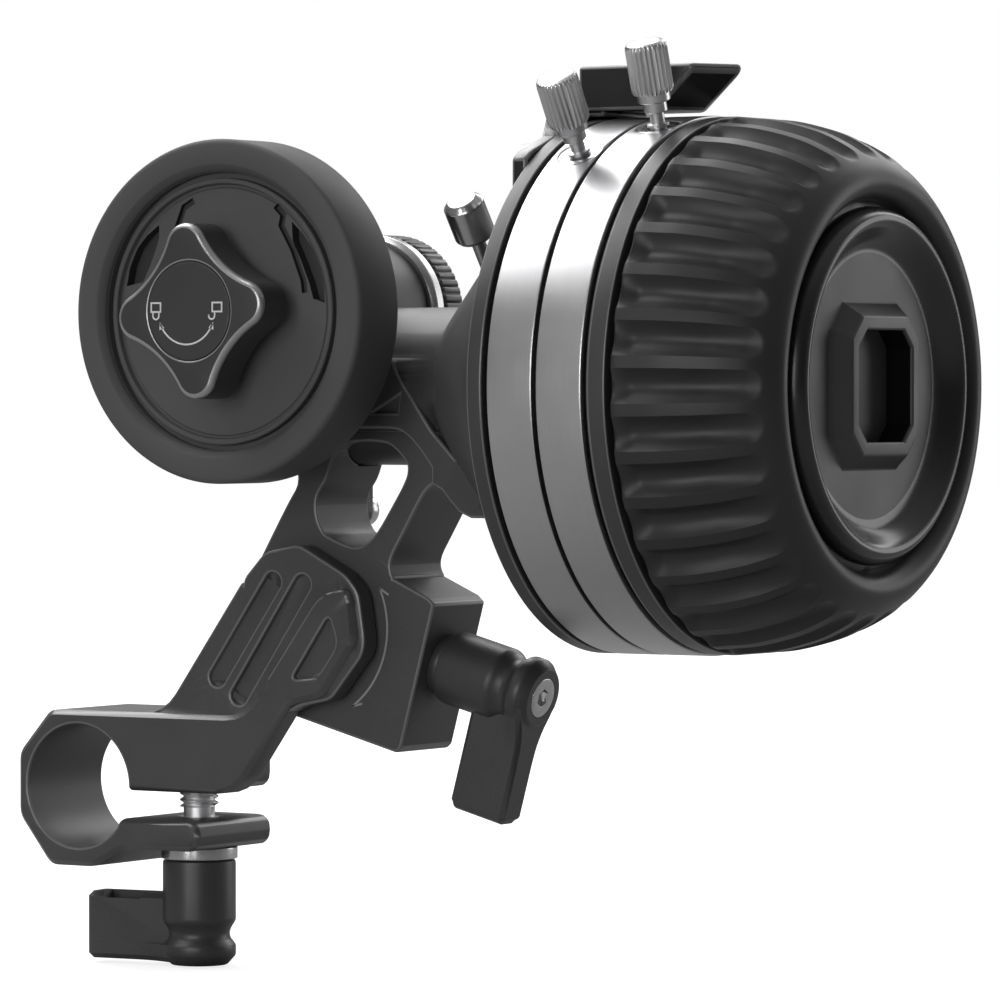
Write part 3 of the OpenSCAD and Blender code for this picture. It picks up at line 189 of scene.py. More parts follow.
# Materials: level of grey and its spread, roughness and its spread, metallic,
# scale of the grain and its depth in metres; turned pieces have grain in rings
TURNED = (1, 0.012, 0.012)
MATS = {
    "anodised": coat("anodised_black_mat", 0.058, 0.20, 0.46, 0.04, 0.0, 5200, 0.00003,
                     grain_strength=0.5),
    # Lighter coat for the rounded edges of the black parts: a painted highlight along the edges
    "edge_highlight": coat("edge_highlight_mat", 0.15, 0.12, 0.34, 0.05, 0.1, 6000, 0.00001,
                          specular=0.6),
    # Lighter coat for the flat front chamfer of clamp and lower arm: a painted highlight
    "chamfer_highlight": coat("chamfer_highlight_mat", 0.080, 0.15, 0.30, 0.04, 0.1, 6000, 0.00001,
                          specular=0.7),
    "anodised_turned": coat("anodised_turned_mat", 0.040, 0.12, 0.40, 0.04, 0.0, 9000,
                            0.00001, TURNED, specular=0.6),
    "ring": coat("satin_ring_mat", 0.52, 0.05, 0.34, 0.03, 1.0, 9000, 0.000008, TURNED),
    "steel": coat("steel_mat", 0.50, 0.05, 0.24, 0.04, 1.0, 5000, 0.000006),
    # Light metal for the collar ring's edges: a painted highlight
    "bright": coat("metal_edge_highlight_mat", 0.72, 0.05, 0.22, 0.03, 1.0, 5000, 0.000006),
    "brass": coat("brass_mat", 0.42, 0.08, 0.3, 0.04, 1.0, 5000, 0.000006),
    "tyre": coat("tyre_rubber_mat", 0.084, 0.08, 0.62, 0.05, 0.0, 7000, 0.00002,
                 specular=0.35),
    "gear": coat("gear_plastic_mat", 0.086, 0.10, 0.52, 0.05, 0.0, 6000, 0.00002,
                 specular=0.4),
    "grip": coat("grip_rubber_mat", 0.024, 0.10, 0.44, 0.05, 0.0, 8000, 0.000015,
                 specular=0.42),
    "gloss": coat("gloss_black_mat", 0.018, 0.08, 0.26, 0.03, 0.0, 5000, 0.000004,
                  specular=0.55),
    "satin": coat("satin_black_mat", 0.050, 0.10, 0.42, 0.04, 0.0, 7000, 0.00001),
    "knob": coat("knob_black_mat", 0.038, 0.12, 0.40, 0.04, 0.0, 9000, 0.00001,
                 specular=0.6),
    # Light metal coat for the knob's front edge and badge rim: a painted highlight
    "knob_edge_highlight": coat("knob_edge_highlight_mat", 0.42, 0.10, 0.34, 0.04, 0.85, 9000, 0.00001,
                      specular=0.6),
    "turned_steel": coat("turned_steel_mat", 0.64, 0.05, 0.33, 0.04, 1.0, 6000, 0.000006),
    "stud": coat("stud_steel_mat", 0.85, 0.05, 0.42, 0.04, 1.0, 5000, 0.000006),
    # Darker coat for the gear's cut pockets and grooves: painted shade in the recesses
    "recess_shade": coat("recess_shade_plastic_mat", 0.036, 0.10, 0.55, 0.05, 0.0, 6000, 0.00002,
                   specular=0.4),
    "badge": coat("badge_mat", 0.040, 0.08, 0.45, 0.04, 0.0, 8000, 0.00001),
    "engraved": coat("engraved_line_mat", 0.33, 0.05, 0.4, 0.04, 0.3, 7000, 0.00001),
    "mark": coat("white_mark_mat", 0.72, 0.04, 0.5, 0.04, 0.0, 7000, 0.00001),
    # Near-black coat for the inside of the socket: painted shade in the recess
    "deep": coat("painted_shade_black_mat", 0.004, 0.10, 0.6, 0.05, 0.0, 7000, 0.00001,
                 specular=0.12),
}
MAT_OF_SLOT = {"anodised_black": "anodised", "steel": "steel", "satin_aluminium": "ring",
               "brass": "brass", "dark_plastic": "gear", "tyre_rubber": "tyre",
               "badge_black": "badge", "grip_rubber": "grip", "gloss_black": "gloss",
               "satin_plastic": "satin"}

# Limits of the mesh helpers: metres for joining points, degrees for flats and edges
WELD, COLLAPSE, FLAT_DEG = 2e-6, 1e-6, 0.4
SHARP_DEG, SMOOTH_DEG = 28, 32
EDGE_STEPS = 2
CHAMFER = 2  # material index of a flat chamfer
# Widths of the rounded edges
FINE_EDGE, SMALL_EDGE, BAND_EDGE, RING_EDGE = 0.12, 0.15, 0.18, 0.22
BODY_EDGE, ARM_EDGE, BRACKET_EDGE, BADGE_EDGE = 0.3, 0.34, 0.4, 0.1
# Sides of the turned pieces
CAP_SIDES, DISC_SIDES, GEAR_SIDES, TYRE_SIDES, BARREL_SIDES = 160, 128, 160, 192, 96


def finish_mesh(bm, name, mats, smooth_deg=SMOOTH_DEG):
    me = bpy.data.meshes.new(name)
    bmesh.ops.recalc_face_normals(bm, faces=bm.faces)
    for f in bm.faces:
        f.smooth = True
    bm.to_mesh(me)
    bm.free()
    me.set_sharp_from_angle(angle=math.radians(smooth_deg))
    ob = bpy.data.objects.new(name, me)
    bpy.context.scene.collection.objects.link(ob)
    for m in mats:
        me.materials.append(MATS[m])
    return ob


def place(ob, body, *nodes, slot=None):
    """Ties a piece to its body and hides the nodes that it replaces; the slot argument is not
    used.
    """
    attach(ob, body)
    if nodes:
        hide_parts(*nodes)


def bridge(bm, a, b, mat=0):
    """Faces between two closed rows of points; a row of one point is a pole."""
    n = max(len(a), len(b))
    for i in range(n):
        j = (i + 1) % n
        if len(a) == 1:
            corners = (a[0], b[j], b[i])
        elif len(b) == 1:
            corners = (a[i], a[j], b[0])
        else:
            corners = (a[i], a[j], b[j], b[i])
        bm.faces.new(corners).material_index = mat


def split_large_faces(bm):
    bmesh.ops.triangulate(bm, faces=[f for f in bm.faces if len(f.verts) > 4])


def circle(n):
    return [2 * math.pi * i / n for i in range(n)]


def clean_copy(node):
    """The node's own solid as a welded bmesh with its flat faces joined."""
    bm = bmesh.new()
    bm.from_mesh(frame["nodes"][node].data)
    bmesh.ops.remove_doubles(bm, verts=bm.verts, dist=WELD)
    bmesh.ops.dissolve_degenerate(bm, edges=bm.edges, dist=COLLAPSE)
    bmesh.ops.dissolve_limit(bm, angle_limit=math.radians(FLAT_DEG), verts=bm.verts,
                             edges=bm.edges, use_dissolve_boundaries=False)
    bmesh.ops.recalc_face_normals(bm, faces=bm.faces)
    return bm


def bevel(bm, test, width, segments, mat):
    """Bevels the sharp convex edges that the test picks."""
    picked = []
    for e in bm.edges:
        if len(e.link_faces) == 2 and e.calc_face_angle(0) > math.radians(SHARP_DEG) \
                and e.is_convex and test(e):
            picked.append(e)
    if picked:
        bmesh.ops.bevel(bm, geom=picked, offset=width * MM, offset_type="OFFSET",
                        segments=segments, profile=0.5, affect="EDGES", clamp_overlap=False,
                        material=mat)


def dressed(node, mat, edge_mat, width, chamfer=None):
    """A node's own shape with its edges rounded; chamfer is a test, a width and a material."""
    bm = clean_copy(node)
    mats = [mat, edge_mat]
    if chamfer:
        test, chamfer_width, chamfer_mat = chamfer
        bevel(bm, test, chamfer_width, 1, CHAMFER)
        mats.append(chamfer_mat)
    if width:
        bevel(bm, lambda e: all(f.material_index < CHAMFER for f in e.link_faces), width,
              EDGE_STEPS, 1)
    split_large_faces(bm)
    ob = finish_mesh(bm, node + "_piece", mats)
    flat = ob.modifiers.new("flat_faces", "WEIGHTED_NORMAL")
    flat.mode, flat.keep_sharp, flat.weight = "FACE_AREA", True, 100
    place(ob, BODY_OF[node], node)


def revolve(name, profile, n, to_world, mat):
    """A turned ring from [radius, height] points; to_world maps (x, y, height)."""
    bm = bmesh.new()
    rows = [[bm.verts.new(to_world(r * math.cos(a), r * math.sin(a), h)) for a in circle(n)]
            for r, h in profile]
    for a, b in zip(rows, rows[1:] + rows[:1]):
        bridge(bm, a, b)
    return finish_mesh(bm, name, [mat])


def about_x(x, y, h):
    return Vector((h, WHEEL_Y + x, WHEEL_Z + y)) * MM


def about_y(x, y, h):
    return Vector((GEAR_X + x, h, GEAR_Z + y)) * MM


def on_front(u, v, y):
    return Vector((u, y, v)) * MM


def smooth_line(points, steps):
    """A Catmull-Rom line through the points."""
    out = []
    pts = [points[0]] + list(points) + [points[-1]]
    for i in range(1, len(pts) - 2):
        p0, p1, p2, p3 = (Vector(p) for p in pts[i - 1:i + 3])
        for k in range(steps):
            t = k / steps
            out.append(tuple(0.5 * ((2 * p1) + (p2 - p0) * t + (2 * p0 - 5 * p1 + 4 * p2 - p3)
                                    * t * t + (3 * p1 - p0 - 3 * p2 + p3) * t ** 3)))
    out.append(tuple(points[-1]))
    return out


# Grip: points are radius and X; the flutes start shallow and fade before the crown
FLUTES = 36
GRIP_LINE = [(30.75, 86.62), (30.95, 87.1), (30.8, 89.0), (30.5, 92.0), (29.85, 95.0),
             (28.95, 98.0), (27.85, 100.4), (26.75, 102.2), (25.3, 103.75), (24.0, 104.55),
             (22.9, 104.65), (22.0, 104.15), (21.3, 103.1), (20.95, 101.6)]
GRIP_BORE = [(20.9, 100.2), (28.0, 92.5), (27.2, 86.62)]
GRIP_STEPS, GRIP_SMOOTH_DEG = 7, 26
FLUTE_DEPTH, FLUTE_HALF_DEG, FLUTE_MEAN_R, FLUTE_END_X = 1.3, 3.7, 29, 101.6
FLUTE_START_SHARE, FLUTE_START_L = 0.2, 2.2
FLUTE_FADE_SHARE, FLUTE_FADE_LEAD, FLUTE_FADE_L = 0.6, 5, 6
ACROSS_SHARES = [-1.35, -1.2, -1.08, -1, -0.9, -0.75, -0.5, -0.25, 0, 0.25, 0.5, 0.75, 0.9, 1,
                 1.08, 1.2]


def make_grip():
    line = smooth_line(GRIP_LINE, GRIP_STEPS)
    length = [0.0]
    for a, b in zip(line, line[1:]):
        length.append(length[-1] + math.dist(a, b))
    end_s = next(s for (r, x), s in zip(line, length) if x >= FLUTE_END_X)
    half_w = math.radians(FLUTE_HALF_DEG) * FLUTE_MEAN_R
    spots = [(u, math.radians(360 / FLUTES * i + u * FLUTE_HALF_DEG))
             for i in range(FLUTES) for u in ACROSS_SHARES]
    bm = bmesh.new()
    rows = []
    for k, ((r, x), s) in enumerate(zip(line, length)):
        before, after = line[max(0, k - 1)], line[min(len(line) - 1, k + 1)]
        tangent = Vector((after[0] - before[0], after[1] - before[1])).normalized()
        normal = Vector((tangent.y, -tangent.x))
        depth = FLUTE_DEPTH * (FLUTE_START_SHARE
                               + (1 - FLUTE_START_SHARE) * min(1.0, s / FLUTE_START_L))
        faded = min(1.0, max(0.0, (s - end_s + FLUTE_FADE_LEAD) / FLUTE_FADE_L))
        depth *= 1 - FLUTE_FADE_SHARE * faded
        past_end = max(0.0, (s - end_s) / half_w)
        row = []
        for u, angle in spots:
            q = min(1.0, math.hypot(u, past_end))
            d = depth * (1 - q * q)
            rr, xx = r - d * normal.x, x - d * normal.y
            row.append(bm.verts.new(about_x(rr * math.sin(angle), rr * math.cos(angle), xx)))
        rows.append(row)
    for r, x in GRIP_BORE:
        rows.append([bm.verts.new(about_x(r * math.sin(angle), r * math.cos(angle), x))
                     for u, angle in spots])
    for a, b in zip(rows, rows[1:] + rows[:1]):
        bridge(bm, a, b)
    place(finish_mesh(bm, "grip_piece", ["grip"], GRIP_SMOOTH_DEG), "handwheel", "grip")


make_grip()

# Cap: bead, front ring and the slope down to the disc
CAP_BEAD = [(20.1, 102.0), (20.42, 102.75), (20.35, 103.6), (20.0, 104.4), (19.55, 104.95),
            (19.05, 105.13), (18.7, 105.1)]
CAP_INSIDE = [(18.35, 104.95), (17.9, 104.5), (17.2, 103.75), (16.6, 103.15), (16.1, 102.8),
              (15.6, 102.66), (15.2, 102.645), (15.1, 102.5), (16.12, 102.3), (16.12, 99.4),
              (18.2, 99.4), (18.2, 102.3)]
CAP_STEPS = 5
cap_line = smooth_line(CAP_BEAD, CAP_STEPS) + CAP_INSIDE
place(revolve("cap_ring_piece", cap_line, CAP_SIDES, about_x, "gloss"), "handwheel",
      "cap_ring")

# Socket plate: rows are half width, cut of the corners and X, from the foot to the bore
SOCKET_ROWS = [(9.62, 3.1, 101.4), (9.62, 3.1, 102.62), (9.4, 3.0, 102.72),
               (7.95, 2.55, 104.66), (7.75, 2.5, 104.8), (7.6, 2.45, 104.83),
               (6.62, 2.1, 104.83), (6.42, 2.05, 104.72), (6.35, 2.0, 104.5),
               (6.35, 2.0, 99.2)]
SOCKET_DISC = [(8.2, 100.75), (8.2, 102.63), (16.0, 102.63), (16.1, 102.5), (16.1, 100.75)]
SOCKET_SMOOTH_DEG = 14


def octagon(half, cut_back, x):
    """Corners of a square with its corners cut back, in the wheel's plane."""
    side = half - cut_back
    flat = ((side, half), (half, side), (half, -side), (side, -half),
            (-side, -half), (-half, -side), (-half, side), (-side, half))
    return [about_x(u, v, x) for u, v in flat]


def make_socket_plate():
    bm = bmesh.new()
    rows = [[bm.verts.new(p) for p in octagon(*row)] for row in SOCKET_ROWS]
    # The bore's walls and floor get the near-black coat: painted shade inside the socket
    for a, b in zip(rows, rows[1:]):
        bridge(bm, a, b, mat=1 if b is rows[-1] else 0)
    bm.faces.new(rows[-1]).material_index = 1
    bm.faces.new(rows[0])
    place(finish_mesh(bm, "socket_plate_piece", ["satin", "deep"], SOCKET_SMOOTH_DEG),
          "handwheel", "socket_plate")
    place(revolve("socket_disc", SOCKET_DISC, DISC_SIDES, about_x, "satin"), "handwheel",
          slot="satin_plastic")


make_socket_plate()

# Turned bands of the wheel, stop rings and the bushes in them
# The bands' edges get the lighter edge coat, a painted highlight
dressed("bezel_band", "anodised_turned", "edge_highlight", BAND_EDGE)
dressed("back_plate", "anodised_turned", "edge_highlight", RING_EDGE)
dressed("wheel_core", "anodised_turned", "anodised_turned", 0)
for tag in ("a", "b"):
    dressed("stop_ring_" + tag, "ring", "ring", RING_EDGE)
    dressed("thumb_bush_" + tag, "steel", "steel", FINE_EDGE)


# Thin marks, drawn in the plane of the front
MITRE_LIMIT, HEAD_HALF_SHARE, HEAD_TIP_SHARE = 0.4, 0.42, 0.04
BOW_STEPS, ARC_STEPS = 10, 30


def strip_solid(name, strips, y0, y1, mat, body, slot):
    """A flat piece between two Y planes; a strip is its pairs of points and if it closes."""
    bm = bmesh.new()
    for pairs, closed in strips:
        rows = [[bm.verts.new(on_front(*p, y)) for p, y in ((a, y0), (a, y1), (b, y1), (b, y0))]
                for a, b in pairs]
        for a, b in zip(rows, rows[1:] + (rows[:1] if closed else [])):
            bridge(bm, a, b)
        if not closed:
            bm.faces.new(rows[0])
            bm.faces.new(rows[-1])
    place(finish_mesh(bm, name, [mat]), body, slot=slot)


def ribbon(points, width, closed=False):
    """Pairs of points on both sides of a line, and if it closes."""
    out, n = [], len(points)
    for i, p in enumerate(points):
        a = Vector(points[i - 1] if (i or closed) else p)
        b = Vector(points[(i + 1) % n] if (i < n - 1 or closed) else p)
        d0 = (Vector(p) - a).normalized() if (Vector(p) - a).length else None
        d1 = (b - Vector(p)).normalized() if (b - Vector(p)).length else None
        d0, d1 = d0 or d1, d1 or d0
        t = (d0 + d1).normalized()
        side = Vector((-t.y, t.x)) * (width / 2 / max(MITRE_LIMIT, t.dot(d0)))
        out.append((tuple(Vector(p) + side), tuple(Vector(p) - side)))
    return out, closed


def arc(cx, cz, r, a0, a1, n):
    """Points on an arc; angles in degrees from +X towards +Z."""
    turns = [math.radians(a0 + (a1 - a0) * i / n) for i in range(n + 1)]
    return [(cx + r * math.cos(a), cz + r * math.sin(a)) for a in turns]


def arrow_head(tip, heading, size):
    """A solid arrow head as a strip that narrows to its tip."""
    d = Vector((math.cos(math.radians(heading)), math.sin(math.radians(heading))))
    n = Vector((-d.y, d.x)) * size * HEAD_HALF_SHARE
    base = Vector(tip) - d * size
    near = Vector(tip) - d * size * HEAD_TIP_SHARE
    return [(tuple(base + n), tuple(base - n)),
            (tuple(near + n * HEAD_TIP_SHARE), tuple(near - n * HEAD_TIP_SHARE))], False


# Lock marks and the turning arc on the knob's badge; a lock has its X, the swing of its
# bow and the Z of the bow's left foot, and the right lock is open
BADGE_Y, MARK_RISE, MARK_SINK = -17.5, 0.015, 0.04
MARK_W = 0.2
LOCKS = ((24.2, 0.0, 57.12), (32.86, -0.75, 56.85))
LOCK_HALF_W, LOCK_Z0, LOCK_Z1 = 0.66, 57.2, 58.24
BOW_R, BOW_Z, BOW_FOOT_Z = 0.42, 56.75, 57.12
TURN_X, TURN_Z, TURN_R, TURN_HEAD = 28.53, 57.45, 4.05, 0.85
TURN_FROM, TURN_TO, HEAD_AHEAD = 204, 336, 3


def badge_marks():
    strips = []
    for x, swing, free_foot_z in LOCKS:
        left, right = x - LOCK_HALF_W, x + LOCK_HALF_W
        strips.append(ribbon([(left, LOCK_Z0), (right, LOCK_Z0), (right, LOCK_Z1),
                              (left, LOCK_Z1)], MARK_W, True))
        bow_x = x + swing
        strips.append(ribbon([(bow_x - BOW_R, free_foot_z), (bow_x - BOW_R, BOW_Z)]
                             + arc(bow_x, BOW_Z, BOW_R, 180, 360, BOW_STEPS)
                             + [(bow_x + BOW_R, BOW_FOOT_Z)], MARK_W))
    strips.append(ribbon(arc(TURN_X, TURN_Z, TURN_R, TURN_FROM, TURN_TO, ARC_STEPS), MARK_W))
    for end, way in ((TURN_FROM - HEAD_AHEAD, -90), (TURN_TO + HEAD_AHEAD, 90)):
        a = math.radians(end)
        tip = (TURN_X + TURN_R * math.cos(a), TURN_Z + TURN_R * math.sin(a))
        strips.append(arrow_head(tip, end + way, TURN_HEAD))
    strip_solid("badge_marks", strips, BADGE_Y - MARK_RISE, BADGE_Y + MARK_SINK, "mark",
                "gear_knob", "badge_black")


badge_marks()

# Bent arrow on the upper arm, round the pivot
ARM_Y, ENGRAVE_RISE, ENGRAVE_SINK = 4.0, 0.012, 0.05
ENGRAVE_W, SWING_R, SWING_FROM, SWING_TO = 0.26, 11.25, -56, 25
BARB_HIGH, BARB_LOW = Vector((1.25, -0.75)), Vector((1.4, 0.35))
swing_arc = arc(PIVOT_X, PIVOT_Z, SWING_R, SWING_FROM, SWING_TO, ARC_STEPS)
swing_lines = [ribbon(swing_arc, ENGRAVE_W)]
for end, barb in ((swing_arc[-1], BARB_HIGH), (swing_arc[0], BARB_LOW)):
    swing_lines.append(ribbon([end, tuple(Vector(end) + barb)], ENGRAVE_W))
strip_solid("arm_arrow", swing_lines, ARM_Y - ENGRAVE_RISE, ARM_Y + ENGRAVE_SINK, "engraved",
            "tilt_arm", "anodised_black")

# Drive gear: radius and Y of its section, then the pockets and grooves of its face, whose cut
# walls and floors get a darker coat as painted shade
GEAR_FACE = [(2.55, -10.9), (4.9, -10.9), (5.0, -10.8), (5.0, -10.35), (14.45, -10.35),
             (14.6, -10.2), (14.85, -10.2), (14.95, -10.35), (15.0, -10.75), (15.1, -10.85),
             (15.5, -10.85), (15.62, -10.75), (15.68, -9.9), (16.3, -9.9), (16.34, -10.85),
             (17.1, -10.85), (17.1, -4.4), (15.0, -4.4), (15.0, -8.1), (5.0, -8.1),
             (5.0, -2.6), (2.55, -2.6)]
WINDOWS = ([(19.6, 67.6), (17.9, 66.4), (16.4, 64.8), (15.4, 62.7), (14.9, 60.4),
            (17.3, 60.9), (18.2, 62.6), (19.0, 64.4), (19.6, 66.0)],
           [(38.5, 67.7), (40.1, 66.2), (41.5, 64.4), (42.6, 62.1), (43.0, 60.3),
            (43.1, 58.2), (41.5, 58.7), (40.9, 60.6), (39.9, 62.9), (38.6, 65.5)])
STEPS = ([(24.6, 70.35), (23.2, 69.6), (22.2, 67.2), (21.5, 65.2), (21.1, 63.4)],
         [(36.2, 69.6), (37.3, 68.5), (37.0, 67.3), (38.6, 64.6), (40.1, 60.9), (40.3, 59.4)])
CUT_Y, WINDOW_Y, STEP_Y, STEP_W = -11, -9.0, -9.75, 0.8


def flat_solid(name, points, y0, y1, mat):
    """A closed flat outline between two Y planes."""
    bm = bmesh.new()
    rows = [[bm.verts.new(on_front(u, v, y)) for u, v in points] for y in (y0, y1)]
    for row in rows:
        bm.faces.new(row)
    bridge(bm, *rows)
    return finish_mesh(bm, name, [mat])


def cut(ob, *cutters):
    """Takes the cutters out of a piece; the cut faces get the cutters' materials."""
    for c in cutters:
        mod = ob.modifiers.new("cut", "BOOLEAN")
        mod.object, mod.operation, mod.solver = c, "DIFFERENCE", "EXACT"
        mod.material_mode = "TRANSFER"
    bpy.context.view_layer.update()
    dg = bpy.context.evaluated_depsgraph_get()
    me = bpy.data.meshes.new_from_object(ob.evaluated_get(dg))
    ob.modifiers.clear()
    old, ob.data = ob.data, me
    me.name = old.name + "_cut"
    for c in cutters:
        bpy.data.objects.remove(c)
    me.set_sharp_from_angle(angle=math.radians(SMOOTH_DEG))


def make_drive_gear():
    gear = revolve("drive_gear_piece", GEAR_FACE, GEAR_SIDES, about_y, "gear")
    cutters = [flat_solid("window_%d" % i, outline, CUT_Y, WINDOW_Y, "recess_shade")
               for i, outline in enumerate(WINDOWS)]
    for i, line in enumerate(STEPS):
        pairs = ribbon(line, STEP_W)[0]
        outline = [a for a, b in pairs] + [b for a, b in reversed(pairs)]
        cutters.append(flat_solid("step_%d" % i, outline, CUT_Y, STEP_Y, "recess_shade"))
    cut(gear, *cutters)
    place(gear, "gear_train", "drive_gear")


make_drive_gear()

# Clamp stud: height and radius of its shank and waist, then the thread between the jaws
STUD_SHANK = [(-16.4, 2.4), (-3.7, 2.4), (-3.7, 1.92), (-2.55, 1.92)]
THREAD_FROM, THREAD_TO, PITCH, CREST_R, ROOT_R = -2.5, 3.75, 0.8, 2.37, 1.92
STUD_SIDES, ROWS_PER_TURN = 36, 10
FLANK_STEEP, FLANK_SHIFT = 1.5, 0.25
TURNED_SMOOTH_DEG = 40


def make_thread():
    rows = [([r] * STUD_SIDES, z) for z, r in STUD_SHANK]
    k = 0
    while THREAD_FROM + k * PITCH / ROWS_PER_TURN < THREAD_TO:
        z = THREAD_FROM + k * PITCH / ROWS_PER_TURN
        phases = [(z / PITCH + i / STUD_SIDES) % 1.0 for i in range(STUD_SIDES)]
        rises = [min(1.0, max(0.0, (1 - abs(2 * f - 1)) * FLANK_STEEP - FLANK_SHIFT))
                 for f in phases]
        rows.append(([ROOT_R + (CREST_R - ROOT_R) * rise for rise in rises], z))
        k += 1
    bm = bmesh.new()
    made = [[bm.verts.new(Vector((CLAMP_SCREW_X + r * math.cos(a),
                                  CLAMP_SCREW_Y + r * math.sin(a), z)) * MM)
             for r, a in zip(radii, circle(STUD_SIDES))] for radii, z in rows]
    for a, b in zip(made, made[1:]):
        bridge(bm, a, b)
    bm.faces.new(list(reversed(made[0])))
    bm.faces.new(made[-1])
    place(finish_mesh(bm, "clamp_stud_piece", ["stud"], TURNED_SMOOTH_DEG),
          "clamp_lever_body", "clamp_stud")


make_thread()

# Lock knob: four rounded lobes, and valleys that are arcs round points far out
KNOB_SIDES, KNOB_R, LOBE_R, VALLEY_AT, LOBE_TURN = 240, 10.3, 2.75, 20.0, math.radians(5.5)
KNOB_EDGE = [(0.62, -17.5), (0.42, -17.46), (0.23, -17.34), (0.08, -17.12), (0.01, -16.8),
             (0, -16.5), (0, -12.2)]
KNOB_HUB = [(6.6, -12.0), (6.6, -11.2), (3.0, -11.2), (3.0, -16.9), (5.77, -16.9),
            (5.79, -17.36), (5.9, -17.48), (6.05, -17.5)]
# The bands in this list get the light knob edge coat, a painted highlight
HIGHLIGHT_BANDS = (0, 1, 2, 3, 13)  # the front edge and the rim round the badge


def knob_outline():
    """Points of the knob's outline; lobes and valleys meet without a corner."""
    eighth = math.pi / 4
    lobe_at = KNOB_R - LOBE_R
    reach = math.sqrt(lobe_at ** 2 + VALLEY_AT ** 2
                      - 2 * lobe_at * VALLEY_AT * math.cos(eighth))
    valley_r = reach - LOBE_R
    joint = math.atan2(VALLEY_AT * math.sin(eighth), VALLEY_AT * math.cos(eighth) - lobe_at)
    joint_angle = math.atan2(LOBE_R * math.sin(joint), lobe_at + LOBE_R * math.cos(joint))
    outline = []
    for t in circle(KNOB_SIDES):
        u = (t + eighth) % (2 * eighth) - eighth
        if abs(u) <= joint_angle:
            r = lobe_at * math.cos(u) + math.sqrt(LOBE_R ** 2 - (lobe_at * math.sin(u)) ** 2)
        else:
            w = eighth - abs(u)
            r = VALLEY_AT * math.cos(w) - math.sqrt(valley_r ** 2
                                                    - (VALLEY_AT * math.sin(w)) ** 2)
        outline.append(Vector((r * math.cos(t + LOBE_TURN), r * math.sin(t + LOBE_TURN))))
    return outline


def make_knob():
    outline = knob_outline()
    normals = []
    for i in range(KNOB_SIDES):
        d = (outline[(i + 1) % KNOB_SIDES] - outline[i - 1]).normalized()
        normals.append(Vector((d.y, -d.x)))
    ring = [Vector((math.cos(a), math.sin(a))) for a in circle(KNOB_SIDES)]
    rows = [[(p - m * inset, y) for p, m in zip(outline, normals)] for inset, y in KNOB_EDGE]
    rows += [[(d * r, y) for d in ring] for r, y in KNOB_HUB]
    bm = bmesh.new()
    made = [[bm.verts.new(about_y(p.x, p.y, y)) for p, y in row] for row in rows]
    for k, (a, b) in enumerate(zip(made, made[1:] + made[:1])):
        bridge(bm, a, b, mat=1 if k in HIGHLIGHT_BANDS else 0)
    place(finish_mesh(bm, "lock_knob_piece", ["knob", "knob_edge_highlight"], TURNED_SMOOTH_DEG),
          "gear_knob", "lock_knob")


make_knob()

# Thumbscrews: radius and height over the ring of the neck, radius and depth of the crown
THUMB_H, THUMB_SIDES, THUMB_FLUTES, THUMB_FLUTE_DEPTH = 10.1, 168, 28, 0.17
THUMB_NECK = [(0.0, -3.8), (1.0, -3.8), (1.0, 0.05), (1.3, 0.1), (1.3, 0.4), (0.85, 0.5),
              (0.85, 1.7), (1.25, 1.75), (1.35, 1.85), (1.35, 2.95), (1.8, 3.0), (1.9, 3.1),
              (1.9, 4.0), (2.25, 4.05), (2.42, 4.35), (2.45, 4.8)]
THUMB_CROWN = [(2.45, 0.95), (2.42, 0.6), (2.25, 0.28), (1.95, 0.1), (1.4, 0), (0, 0)]
THUMB_FLUTED, THUMB_FLUTE_POWER = (4.3, THUMB_H - 0.5), 0.7
THUMB_DEG = {"a": 31.6, "b": 17.8}


def radial(x, y, h, x0, a):
    """A point on a radius of the wheel, at an angle from straight up."""
    return Vector((x0 + x, WHEEL_Y + y * math.cos(a) - h * math.sin(a),
                   WHEEL_Z + y * math.sin(a) + h * math.cos(a))) * MM


def make_thumb(tag):
    a = math.radians(THUMB_DEG[tag])
    x0 = JOINT_MM["thumb_%s_turn" % tag][0]
    line = THUMB_NECK + [(r, THUMB_H - depth) for r, depth in THUMB_CROWN]
    bm = bmesh.new()
    rows = []
    for r, h in line:
        turns = circle(THUMB_SIDES) if r else [0]
        deep = THUMB_FLUTE_DEPTH if THUMB_FLUTED[0] < h < THUMB_FLUTED[1] else 0.0
        row = []
        for t in turns:
            rr = r - deep * (0.5 - 0.5 * math.cos(THUMB_FLUTES * t)) ** THUMB_FLUTE_POWER
            row.append(bm.verts.new(radial(rr * math.cos(t), rr * math.sin(t), RING_R + h,
                                           x0, a)))
        rows.append(row)
    for lo, hi in zip(rows, rows[1:]):
        bridge(bm, lo, hi)
    place(finish_mesh(bm, "thumb_screw_%s_piece" % tag, ["turned_steel"], TURNED_SMOOTH_DEG),
          "thumb_" + tag, "thumb_screw_" + tag)


for tag in THUMB_DEG:
    make_thumb(tag)

# Arms, clamp and housing; the front outline of clamp and lower arm has a flat chamfer in a
# lighter coat, and all their edges have a lighter coat still: both are painted highlight
OUTLINE_CHAMFER, FRONT_Y, BORE_KEEP_R, RECESS_KEEP_R = 0.6, 0.3, 8.0, 6.7


def front_outline(edge):
    mid = (edge.verts[0].co + edge.verts[1].co) / 2 / MM
    on_bore = math.hypot(mid.x, mid.z) <= BORE_KEEP_R
    in_recess = math.hypot(mid.x - PIVOT_X, mid.z - PIVOT_Z) < RECESS_KEEP_R
    return mid.y < FRONT_Y and not on_bore and not in_recess


dressed("rod_clamp_arm", "anodised", "edge_highlight", BODY_EDGE,
        chamfer=(front_outline, OUTLINE_CHAMFER, "chamfer_highlight"))
dressed("upper_arm", "anodised", "edge_highlight", ARM_EDGE)
dressed("gear_housing", "anodised", "edge_highlight", BODY_EDGE)
# Their edges get the lighter edge coat, a painted highlight
for node in ("pivot_retainer", "housing_end_cap", "collar_cap", "arm_washer"):
    dressed(node, "anodised_turned", "edge_highlight", SMALL_EDGE)

